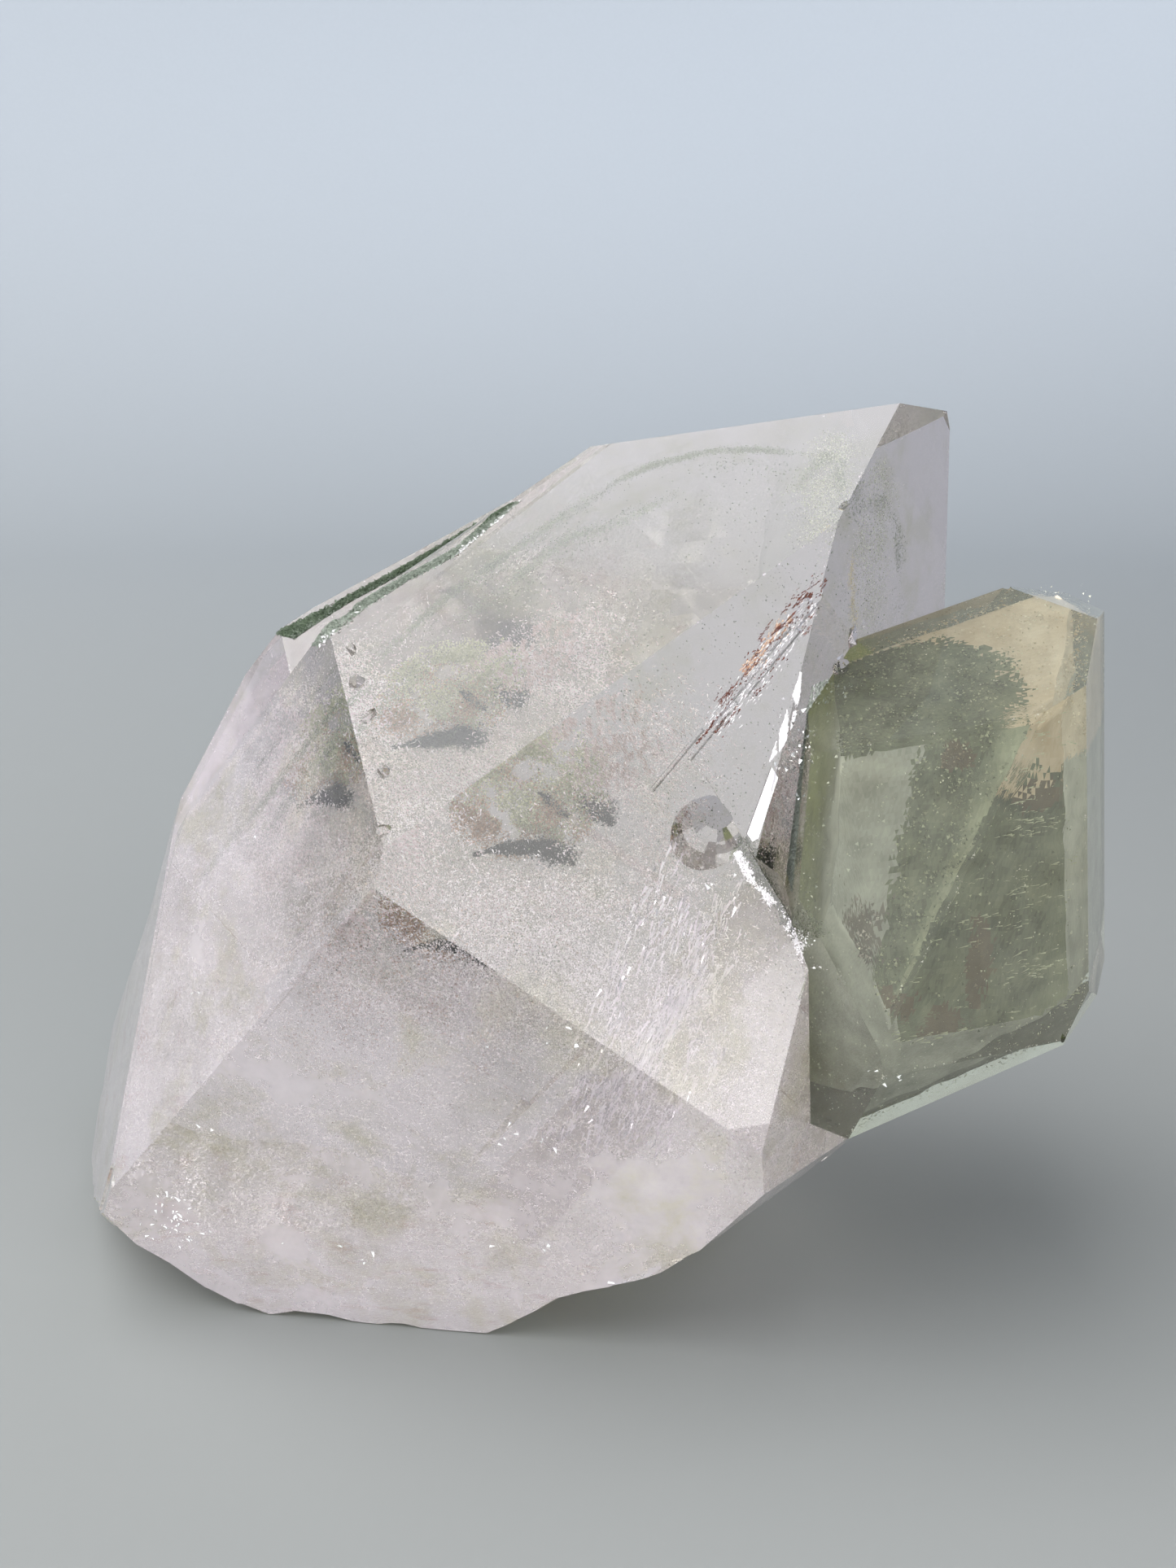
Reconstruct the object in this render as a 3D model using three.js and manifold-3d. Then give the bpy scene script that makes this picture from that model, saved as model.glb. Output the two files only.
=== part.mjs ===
// Chlorite phantom quartz: a broken-off cluster of quartz crystals grown together, in millimetres.
// It rests on its broken base at z = 0, with +X to the right and +Y away from the viewer.
// Every crystal is a body of flat faces. A face is given by where it looks and how far out it lies.
import * as THREE from 'three';
import { ConvexGeometry } from 'three/addons/geometries/ConvexGeometry.js';
import { mergeVertices } from 'three/addons/utils/BufferGeometryUtils.js';
import Module from 'manifold-3d';

const wasm = await Module();
wasm.setup();

// Attitude of the large crystal, in degrees: lean of its long axis from upright, the bearing it
// leans towards (0 is +X, 90 is +Y), and the turn of its first prism face about that axis.
const LEAN = 41.4;
const LEAN_BEARING = -25.6;
const TURN = -127.4;

// Angle between the long axis and the outward normal of a tip face of quartz.
const TIP_ANGLE = 51.8;

// The point that the distances of the large crystal's faces are measured from.
const MAIN_CENTRE = new THREE.Vector3(0, 0, 55);

// Distances of the large crystal's faces from that point.
const MAIN = {
  tipLeft: 39.4,
  tipFront: 38.7,
  tipRight: 36.1,
  tipTop: 50.9,
  tipFar: 60.6,
  tipBack: 67.0,
  sideLeft: 39.9,
  sideFront: 41.5,
  sideFar: 39.2,
  sideBack: 31.6,
  sideTop: 31.4,
};

// Faces that don't follow the lattice exactly: bearing, dip above level, and distance.
const UNDERSIDE = [-40.2, -38.2, 52.4];
const TAPER_HIGH = [-159.8, 23.5, 44.1];
const TAPER_MIDDLE = [-164.6, 18.4, 46.3];
const TAPER_LOW = [-164.6, 15.8, 47.0];
const STAINED_PANEL = [-71.8, 12.8, 38.4];

// The lower right crystal shares the large one's attitude and stands out past it on the right.
const LOBE_RIGHT = 43.3;
const LOBE_TOP = [-8.2, 31.8, 28.8];
const LOBE_CONTACT = [6.4, 17.1, 24.8];

// The thin crystal behind the upper left edge: how far it lies inside the two faces it repeats.
const SLIVER_SET_BACK = 6.8;
const SLIVER_LEFT_SET_BACK = 0.9;
const SLIVER_OUTER = [
  [137.2, 45.8, 38.2],
  [144.3, 43.3, 39.6],
  [148.3, 27.9, 40.7],
];

// The side crystal on the right, with its own centre.
const SIDE_CENTRE = new THREE.Vector3(52, -12, 62);
const SIDE = {
  top: [-119.9, 63.9, 24.0],
  frontLeft: [-99.3, 21.6, 24.4],
  frontRight: [-63.3, 2.8, 19.4],
  rightStrip: [-23.9, 5.2, 15.8],
  bottomStrip: [-65.1, -33.4, 28.2],
  cornerBevel: [-33.3, -14.9, 21.9],
  topStrip: [-15.2, 77.8, 29.3],
  lowerLeft: [-146.8, -11.3, 32.1],
  backTop: [112.2, 34.2, 18.3],
  below: [2.9, -69.6, 22.5],
  farRight: [13.6, 3.7, 16.4],
  back: [87.1, -13.1, 32.6],
  buried: [178.4, 5.5, 23.0],
};

// The broken base: the level patch it rests on, and how the break climbs away from it.
const BREAK_CELL = 4;
const BREAK_SPAN = 128;
const BREAK_CORNER = new THREE.Vector2(-92, -52);
const BREAK_ROUGHNESS = 1.3;
const BREAKS = [
  { from: [-8, -27.7], towards: [0.797, -0.603], slope: 0.655, bend: 0 },
  { from: [-37, -23.4], towards: [-0.75, -0.66], slope: 0.70, bend: 0.022 },
  { from: [-10, 38], towards: [-0.1, 0.995], slope: 0.35, bend: 0.03 },
  { from: [-58, 26], towards: [-0.9, 0.43], slope: 0.3, bend: 0.04 },
];
// Shell-shaped hollows in the break: centre, radius and depth.
const BREAK_BOWLS = [
  [-50, -12, 9, 2.6],
  [-61, 8, 8, 2.4],
  [-31, -25, 5, 1.4],
  [-20, -28, 4, 1.0],
  [4, -29, 7, 1.8],
  [13, -20, 9, 2.2],
  [-30, 50, 12, 3.0],
  [2, 44, 10, 2.6],
  [-62, 38, 10, 2.8],
  [-46, 8, 9, 1.2],
  [-30, 22, 11, 1.4],
  [-12, 6, 8, 0.9],
  [-24, -6, 7, 1.0],
  [-4, 24, 8, 1.2],
  [-48, 26, 8, 1.1],
];

// Chips struck out of the edges: centre, size, stretch along the long edge, and turn in degrees.
const CHIPS = [
  [-24.6, -13.5, 89.3, 1.7, 1.5, 10],
  [-23.0, -17.9, 86.4, 1.1, 2.3, 40],
  [-21.5, -22.6, 83.2, 1.4, 1.4, 75],
  [-19.8, -27.6, 79.7, 0.9, 2.4, 20],
  [-17.6, -34.0, 76.0, 1.2, 1.7, 55],
  [-17.0, -40.5, 70.6, 1.1, 1.5, 5],
  [-8.0, -5.3, 99.9, 0.9, 2.0, 30],
  [-15.4, -9.4, 95.6, 0.6, 2.2, 65],
  [34.0, -18.2, 102.2, 0.9, 1.8, 15],
  [34.9, -16.0, 104.6, 0.6, 2.0, 50],
  [36.4, -11.4, 85.9, 1.3, 1.6, 35],
  [38.9, -10.0, 86.8, 1.0, 1.5, 80],
  [34.8, -15.6, 83.2, 1.3, 1.5, 25],
  [55.8, -8.0, 91.7, 0.8, 1.7, 60],
  [54.7, -31.7, 81.3, 0.6, 1.6, 45],
  [60.5, -30.9, 41.8, 0.7, 1.6, 70],
  [44.0, 4.0, 112.8, 0.8, 2.0, 12],
  [-54.8, -26.0, 21.5, 1.6, 1.5, 52],
];

// The round shell-shaped hollow low on the front, beside the contact with the side crystal.
const HOLLOW = { at: [19.6, -35.6, 69.2], radius: [6.3, 4.6, 5.4] };

// Narrow stained ledges beside the long edge on the front: middle along the edge, length, width,
// depth and how far to the right of the edge.
const LEDGE_START = new THREE.Vector3(31.9, -21.5, 94.6);
const LEDGE_END = new THREE.Vector3(11.3, -33.6, 72.6);
const LEDGES = [
  [0.13, 6.0, 0.7, 0.5, 0.7],
  [0.24, 9.0, 0.8, 0.55, 0.0],
  [0.36, 10.0, 0.6, 0.45, 1.3],
  [0.52, 9.5, 0.8, 0.5, 0.2],
  [0.68, 8.5, 0.55, 0.4, 1.1],
  [0.84, 9.0, 0.5, 0.4, 0.1],
];

// Bands of later growth across the two hidden prism faces: where each starts and ends along the
// long axis from the centre, and how far it stands out.
const BACK_BANDS = [
  [-52, -36, 0.5],
  [-36, -18, 0.9],
];
const FAR_BANDS = [
  [-34, -16, 0.6],
];
const BAND_MARGIN = 3;
const BAND_ROOT = 8;

const rad = THREE.MathUtils.degToRad;

// Unit vector that looks along a bearing and a dip above level.
function facing(bearing, dip) {
  const level = Math.cos(rad(dip));
  return new THREE.Vector3(
    level * Math.cos(rad(bearing)),
    level * Math.sin(rad(bearing)),
    Math.sin(rad(dip)),
  );
}

// Turns lattice directions into the part's own frame.
const attitude = new THREE.Matrix4()
  .makeRotationZ(rad(LEAN_BEARING))
  .multiply(new THREE.Matrix4().makeRotationY(rad(LEAN)))
  .multiply(new THREE.Matrix4().makeRotationZ(rad(TURN)));

// Normal of prism face number k of the large crystal.
function prismFace(k) {
  return new THREE.Vector3(Math.cos(rad(60 * k)), Math.sin(rad(60 * k)), 0).transformDirection(attitude);
}

// Normal of tip face number k, which sits above prism face k.
function tipFace(k) {
  const flat = Math.sin(rad(TIP_ANGLE));
  const direction = new THREE.Vector3(
    flat * Math.cos(rad(60 * k)),
    flat * Math.sin(rad(60 * k)),
    Math.cos(rad(TIP_ANGLE)),
  );
  return direction.transformDirection(attitude);
}

// A half space: everything on the inner side of a face.
function face(normal, out, centre) {
  return { normal, offset: out + normal.dot(centre) };
}

function looseFace([bearing, dip, out], centre) {
  return face(facing(bearing, dip), out, centre);
}

// Moves a face inwards by a distance.
function inset(plane, by) {
  return { normal: plane.normal, offset: plane.offset - by };
}

// Corners of the body that a set of faces encloses: each is where three faces meet inside the rest.
function corners(planes) {
  const found = [];
  for (let i = 0; i < planes.length; i += 1) {
    for (let j = i + 1; j < planes.length; j += 1) {
      for (let k = j + 1; k < planes.length; k += 1) {
        const [a, b, c] = [planes[i], planes[j], planes[k]];
        const cross = new THREE.Vector3().crossVectors(b.normal, c.normal);
        const volume = a.normal.dot(cross);
        if (Math.abs(volume) < 1e-5) continue;
        const point = cross.multiplyScalar(a.offset);
        point.add(new THREE.Vector3().crossVectors(c.normal, a.normal).multiplyScalar(b.offset));
        point.add(new THREE.Vector3().crossVectors(a.normal, b.normal).multiplyScalar(c.offset));
        point.divideScalar(volume);
        const inside = planes.every((p) => p.normal.dot(point) <= p.offset + 1e-5);
        if (inside && !found.some((q) => q.distanceTo(point) < 1e-3)) found.push(point);
      }
    }
  }
  return found;
}

// Turns a closed geometry into a solid that can be joined and cut.
function toSolid(geometry) {
  const plain = geometry.clone();
  plain.deleteAttribute('normal');
  plain.deleteAttribute('uv');
  const merged = mergeVertices(plain, 1e-4);
  return new wasm.Manifold(new wasm.Mesh({
    numProp: 3,
    vertProperties: new Float32Array(merged.attributes.position.array),
    triVerts: new Uint32Array(merged.index.array),
  }));
}

function crystal(planes) {
  return toSolid(new ConvexGeometry(corners(planes)));
}

// Faces of the large crystal.
const tipLeft = face(tipFace(0), MAIN.tipLeft, MAIN_CENTRE);
const tipFront = face(tipFace(1), MAIN.tipFront, MAIN_CENTRE);
const tipRight = face(tipFace(2), MAIN.tipRight, MAIN_CENTRE);
const tipFar = face(tipFace(3), MAIN.tipFar, MAIN_CENTRE);
const tipBack = face(tipFace(4), MAIN.tipBack, MAIN_CENTRE);
const tipTop = face(tipFace(5), MAIN.tipTop, MAIN_CENTRE);
const sideLeft = face(prismFace(0), MAIN.sideLeft, MAIN_CENTRE);
const sideFront = face(prismFace(1), MAIN.sideFront, MAIN_CENTRE);
const sideFar = face(prismFace(3), MAIN.sideFar, MAIN_CENTRE);
const sideBack = face(prismFace(4), MAIN.sideBack, MAIN_CENTRE);
const sideTop = face(prismFace(5), MAIN.sideTop, MAIN_CENTRE);
const underside = looseFace(UNDERSIDE, MAIN_CENTRE);
const taperHigh = looseFace(TAPER_HIGH, MAIN_CENTRE);
const taperMiddle = looseFace(TAPER_MIDDLE, MAIN_CENTRE);
const taperLow = looseFace(TAPER_LOW, MAIN_CENTRE);
const stainedPanel = looseFace(STAINED_PANEL, MAIN_CENTRE);
const below = { normal: new THREE.Vector3(0, 0, -1), offset: 6 };

// The large crystal, with the slightly turned panel to the right of its stained edge.
const large = crystal([
  tipLeft, tipFront, tipRight, tipFar, tipBack, tipTop, sideLeft, sideFront, sideFar, sideBack,
  sideTop, underside, taperHigh, taperMiddle, taperLow, stainedPanel, below,
]);

// The lower right crystal, buried in the large one except at the front and on the right.
const lobe = crystal([
  inset(tipLeft, 1), tipFront, face(tipFace(2), LOBE_RIGHT, MAIN_CENTRE), inset(sideLeft, 1),
  sideFront, inset(sideFar, 2), inset(sideBack, 2), inset(sideTop, 2), underside,
  inset(taperHigh, 2), inset(taperMiddle, 2), inset(taperLow, 2),
  looseFace(LOBE_TOP, MAIN_CENTRE), looseFace(LOBE_CONTACT, MAIN_CENTRE), below,
]);

// The thin crystal behind the upper left edge.
const sliver = crystal([
  inset(tipLeft, SLIVER_SET_BACK), inset(sideLeft, SLIVER_LEFT_SET_BACK),
  ...SLIVER_OUTER.map((f) => looseFace(f, MAIN_CENTRE)),
  inset(sideBack, 5), inset(tipTop, 2), inset(tipRight, 8), inset(sideFront, 4),
  inset(sideFar, 12), inset(taperHigh, -0.4), inset(taperMiddle, -0.4), inset(taperLow, -0.2), below,
  inset(tipFront, 4), inset(tipFar, 6), inset(tipBack, 3),
]);

const side = crystal(Object.values(SIDE).map((f) => looseFace(f, SIDE_CENTRE)));

// A band of later growth across a prism face, between two places along the long axis.
const longAxis = new THREE.Vector3(0, 0, 1).transformDirection(attitude);
function band(onFace, beside, [start, end, rise]) {
  return crystal([
    inset(onFace, -rise), ...beside.map((plane) => inset(plane, BAND_MARGIN)),
    face(longAxis, end, MAIN_CENTRE), face(longAxis.clone().negate(), -start, MAIN_CENTRE),
    { normal: onFace.normal.clone().negate(), offset: BAND_ROOT - onFace.offset },
  ]);
}
const bands = [
  ...BACK_BANDS.map((b) => band(sideBack, [sideFar, sideTop, tipBack, tipTop, tipFar], b)),
  ...FAR_BANDS.map((b) => band(
    sideFar,
    [sideBack, underside, tipFar, tipBack, sideFront, tipFront, tipRight],
    b,
  )),
];

// Repeatable jitter between -1 and 1 for a grid point.
function jitter(i, j, salt) {
  const s = Math.sin(i * 127.1 + j * 311.7 + salt * 74.7) * 43758.5453;
  return 2 * (s - Math.floor(s)) - 1;
}

// Height of the break over a point of the floor: level in the middle, climbing outwards.
function breakHeight(x, y, i, j) {
  let climb = 0;
  for (const b of BREAKS) {
    const s = (x - b.from[0]) * b.towards[0] + (y - b.from[1]) * b.towards[1];
    if (s > 0) climb = Math.max(climb, b.slope * s + b.bend * s * s);
  }
  for (const [cx, cy, radius, depth] of BREAK_BOWLS) {
    const d = Math.hypot(x - cx, y - cy) / radius;
    if (d < 1) climb += depth * (1 - d * d);
  }
  if (climb <= 0) return 0;
  const rough = BREAK_ROUGHNESS * (0.65 * jitter(i, j, 1) + 0.35 * jitter(i >> 1, j >> 1, 2));
  return Math.max(0, climb + rough * Math.min(1, climb / 3));
}

// Everything under the break, as a closed block with a rough top.
function blockUnderBreak() {
  const cells = Math.round(BREAK_SPAN / BREAK_CELL);
  const block = new THREE.BoxGeometry(BREAK_SPAN, BREAK_SPAN, 20, cells, cells, 1);
  const position = block.attributes.position;
  const middle = new THREE.Vector2(BREAK_CORNER.x + BREAK_SPAN / 2, BREAK_CORNER.y + BREAK_SPAN / 2);
  for (let n = 0; n < position.count; n += 1) {
    const x = position.getX(n) + middle.x;
    const y = position.getY(n) + middle.y;
    const top = position.getZ(n) > 0;
    const i = Math.round((x - BREAK_CORNER.x) / BREAK_CELL);
    const j = Math.round((y - BREAK_CORNER.y) / BREAK_CELL);
    position.setXYZ(n, x, y, top ? breakHeight(x, y, i, j) : -20);
  }
  return toSolid(block);
}

// A splintered bite out of an edge.
function chip([x, y, z, size, stretch, turn]) {
  const bite = new THREE.IcosahedronGeometry(size, 0);
  bite.rotateX(rad(turn));
  bite.scale(stretch, 1, 0.8);
  bite.rotateY(rad(-turn));
  bite.rotateZ(rad(3 * turn));
  bite.translate(x, y, z);
  return toSolid(bite);
}

function hollow() {
  const bowl = new THREE.SphereGeometry(1, 20, 12);
  bowl.scale(...HOLLOW.radius);
  bowl.rotateY(-0.6);
  bowl.translate(...HOLLOW.at);
  return toSolid(bowl);
}

// A narrow ledge sunk into the front beside the stained edge.
function ledge([share, length, width, depth, right]) {
  const along = new THREE.Vector3().subVectors(LEDGE_END, LEDGE_START).normalize();
  const out = stainedPanel.normal.clone();
  out.addScaledVector(along, -out.dot(along)).normalize();
  const across = new THREE.Vector3().crossVectors(out, along).normalize();
  if (across.x < 0) across.negate();
  const middle = new THREE.Vector3().lerpVectors(LEDGE_START, LEDGE_END, share);
  middle.addScaledVector(across, right + width / 2);
  const cut = new THREE.BoxGeometry(length, 2 * depth, width);
  const basis = new THREE.Matrix4().makeBasis(along, out, new THREE.Vector3().crossVectors(along, out));
  cut.applyMatrix4(basis.setPosition(middle));
  return toSolid(cut);
}

let cluster = large.add(lobe).add(sliver).add(side);
for (const layer of bands) cluster = cluster.add(layer);
cluster = cluster.subtract(blockUnderBreak());
cluster = cluster.subtract(hollow());
for (const cut of LEDGES) cluster = cluster.subtract(ledge(cut));
for (const cut of CHIPS) cluster = cluster.subtract(chip(cut));

function toGeometry(solid) {
  const mesh = solid.getMesh();
  const geometry = new THREE.BufferGeometry();
  geometry.setAttribute('position', new THREE.BufferAttribute(new Float32Array(mesh.vertProperties), 3));
  geometry.setIndex(new THREE.BufferAttribute(new Uint32Array(mesh.triVerts), 1));
  geometry.computeVertexNormals();
  return geometry;
}

const clearQuartz = new THREE.MeshStandardMaterial({ color: 0xc4c4bc, roughness: 0.08, metalness: 0 });
const quartz = new THREE.Mesh(toGeometry(cluster), clearQuartz);
quartz.name = 'quartz_cluster';

const part = new THREE.Group();
part.add(quartz);

export default part;
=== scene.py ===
"""Chlorite phantom quartz: clear crystals grown together, with green phantoms and milky veils inside."""
import itertools
import logging
import math
from dataclasses import dataclass, field
from enum import IntEnum
from typing import Any, Dict, Sequence, Tuple

import bmesh
import bpy
import numpy as np
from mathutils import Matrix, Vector
from mathutils.bvhtree import BVHTree


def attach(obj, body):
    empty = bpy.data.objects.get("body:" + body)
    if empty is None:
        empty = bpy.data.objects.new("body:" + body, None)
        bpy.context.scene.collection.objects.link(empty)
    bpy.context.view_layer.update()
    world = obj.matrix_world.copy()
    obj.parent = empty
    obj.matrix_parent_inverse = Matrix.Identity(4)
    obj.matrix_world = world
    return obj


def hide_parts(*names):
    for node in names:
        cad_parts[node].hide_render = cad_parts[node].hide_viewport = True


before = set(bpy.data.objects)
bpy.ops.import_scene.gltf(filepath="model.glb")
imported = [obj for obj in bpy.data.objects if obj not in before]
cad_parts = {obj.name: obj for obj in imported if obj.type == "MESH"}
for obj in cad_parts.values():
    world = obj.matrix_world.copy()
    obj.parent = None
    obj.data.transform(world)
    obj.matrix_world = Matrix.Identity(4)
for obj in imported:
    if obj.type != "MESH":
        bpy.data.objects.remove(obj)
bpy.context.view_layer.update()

logging.basicConfig(level=logging.INFO, format="%(message)s")
log = logging.getLogger("phantom_quartz")

MM = 0.001
Array = np.ndarray
Point = Tuple[float, float, float]
Line = Tuple[Point, ...]


# Colours and nodes

def linear(hex_code: str, alpha: float = 1.0) -> Tuple[float, float, float, float]:
    """Turns an sRGB hex colour into linear red, green, blue and alpha.

    Args:
        hex_code: six hex digits, such as "8a9a7c".
        alpha: the fourth value.

    Returns:
        Four linear values.
    """
    parts = [int(hex_code[i:i + 2], 16) / 255 for i in (0, 2, 4)]
    red, green, blue = [p / 12.92 if p <= 0.04045 else ((p + 0.055) / 1.055) ** 2.4 for p in parts]
    return red, green, blue, alpha


def add(tree: bpy.types.NodeTree, kind: str, settings: Dict[str, Any] | None = None,
        inputs: Dict[Any, Any] | None = None) -> Any:
    """Adds one node with its settings, and sets or links its inputs.

    Args:
        tree: the node tree to add to.
        kind: the node's type name without "ShaderNode".
        settings: properties of the node.
        inputs: socket name or number to a value, or to an output socket to link.

    Returns:
        The new node.
    """
    node = tree.nodes.new("ShaderNode" + kind)
    for key, value in (settings or {}).items():
        setattr(node, key, value)
    for key, value in (inputs or {}).items():
        if isinstance(value, bpy.types.NodeSocket):
            tree.links.new(value, node.inputs[key])
        else:
            node.inputs[key].default_value = value
    return node


def new_material(name: str) -> Tuple[bpy.types.Material, bpy.types.NodeTree]:
    """Makes an empty node material.

    Args:
        name: the material's name.

    Returns:
        The material and its node tree.
    """
    material = bpy.data.materials.new(name)
    material.use_nodes = True
    material.node_tree.nodes.clear()
    return material, material.node_tree


# Faces of the crystals

def facing(bearing: float, dip: float) -> Array:
    """Unit vector that looks along a bearing and a dip above level, both in degrees."""
    b, d = math.radians(bearing), math.radians(dip)
    return np.array([math.cos(d) * math.cos(b), math.cos(d) * math.sin(b), math.sin(d)])


def turn_z(angle: float) -> Array:
    """Matrix that turns about Z by an angle in degrees."""
    c, s = math.cos(math.radians(angle)), math.sin(math.radians(angle))
    return np.array([[c, -s, 0], [s, c, 0], [0, 0, 1]])


def turn_y(angle: float) -> Array:
    """Matrix that turns about Y by an angle in degrees."""
    c, s = math.cos(math.radians(angle)), math.sin(math.radians(angle))
    return np.array([[c, 0, s], [0, 1, 0], [-s, 0, c]])


@dataclass(frozen=True)
class Facet:
    """One flat face: its outward normal and its distance from the part's origin, in millimetres."""

    normal: Point
    offset: float

    def inset(self, by: float) -> "Facet":
        """The same face moved inwards by a distance."""
        return Facet(self.normal, self.offset - by)

    def depth(self, points: Array) -> Array:
        """How far points lie inside the face."""
        return self.offset - points @ np.array(self.normal)


def facet(normal: Array, out: float, centre: Array) -> Facet:
    """A face that lies a distance out from a centre."""
    return Facet(tuple(float(v) for v in normal), float(out + normal @ centre))


@dataclass
class LargeCrystal:
    """The faces of the large crystal: the lattice's directions, turned and placed as in the solid."""

    lean: float = 41.4
    lean_bearing: float = -25.6
    turn: float = -127.4
    tip_angle: float = 51.8
    centre: Point = (0.0, 0.0, 55.0)
    tips: Tuple[float, ...] = (39.4, 38.7, 36.1, 60.6, 67.0, 50.9)
    sides: Tuple[float, ...] = (39.9, 41.5, 0.0, 39.2, 31.6, 31.4)

    def attitude(self) -> Array:
        """Matrix that turns lattice directions into the part's frame."""
        return turn_z(self.lean_bearing) @ turn_y(self.lean) @ turn_z(self.turn)

    def axis(self) -> Array:
        """The long axis, towards the tip."""
        return self.attitude() @ np.array([0.0, 0.0, 1.0])

    def faces(self) -> Dict[str, Facet]:
        """Works out the faces: each tip face sits above the side face of the same name.

        Returns:
            The faces by name.
        """
        turned, centre = self.attitude(), np.array(self.centre)
        flat, up = math.sin(math.radians(self.tip_angle)), math.cos(math.radians(self.tip_angle))
        named: Dict[str, Facet] = {}
        for k, name in enumerate(("left", "front", "right", "far", "back", "top")):
            c, s = math.cos(math.radians(60 * k)), math.sin(math.radians(60 * k))
            named["tip_" + name] = facet(turned @ np.array([flat * c, flat * s, up]), self.tips[k], centre)
            if self.sides[k]:
                named["side_" + name] = facet(turned @ np.array([c, s, 0.0]), self.sides[k], centre)
        named["underside"] = facet(facing(-40.2, -38.2), 52.4, centre)
        named["taper"] = facet(facing(-164.6, 18.4), 46.3, centre)
        named["base"] = Facet((0.0, 0.0, -1.0), 0.0)
        return named


@dataclass
class SideCrystal:
    """The faces of the side crystal: bearing, dip and distance from its own centre."""

    centre: Point = (52.0, -12.0, 62.0)
    top: Point = (-119.9, 63.9, 24.0)
    front_left: Point = (-99.3, 21.6, 24.4)
    front_right: Point = (-63.3, 2.8, 19.4)
    right_strip: Point = (-23.9, 5.2, 15.8)
    bottom_strip: Point = (-65.1, -33.4, 28.2)
    lower_left: Point = (-146.8, -11.3, 32.1)
    back_top: Point = (112.2, 34.2, 18.3)
    below: Point = (2.9, -69.6, 22.5)
    far_right: Point = (13.6, 3.7, 16.4)
    back: Point = (87.1, -13.1, 32.6)
    buried: Point = (178.4, 5.5, 23.0)
    corner_bevel: Point = (-33.3, -14.9, 21.9)
    top_strip: Point = (-15.2, 77.8, 29.3)

    def faces(self) -> Dict[str, Facet]:
        """Works out the faces.

        Returns:
            The faces by name.
        """
        named: Dict[str, Facet] = {}
        for name in ("top", "front_left", "front_right", "right_strip", "bottom_strip", "lower_left",
                     "back_top", "below", "far_right", "back", "buried", "corner_bevel", "top_strip"):
            bearing, dip, out = getattr(self, name)
            named[name] = facet(facing(bearing, dip), out, np.array(self.centre))
        return named


# The clear body

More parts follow.
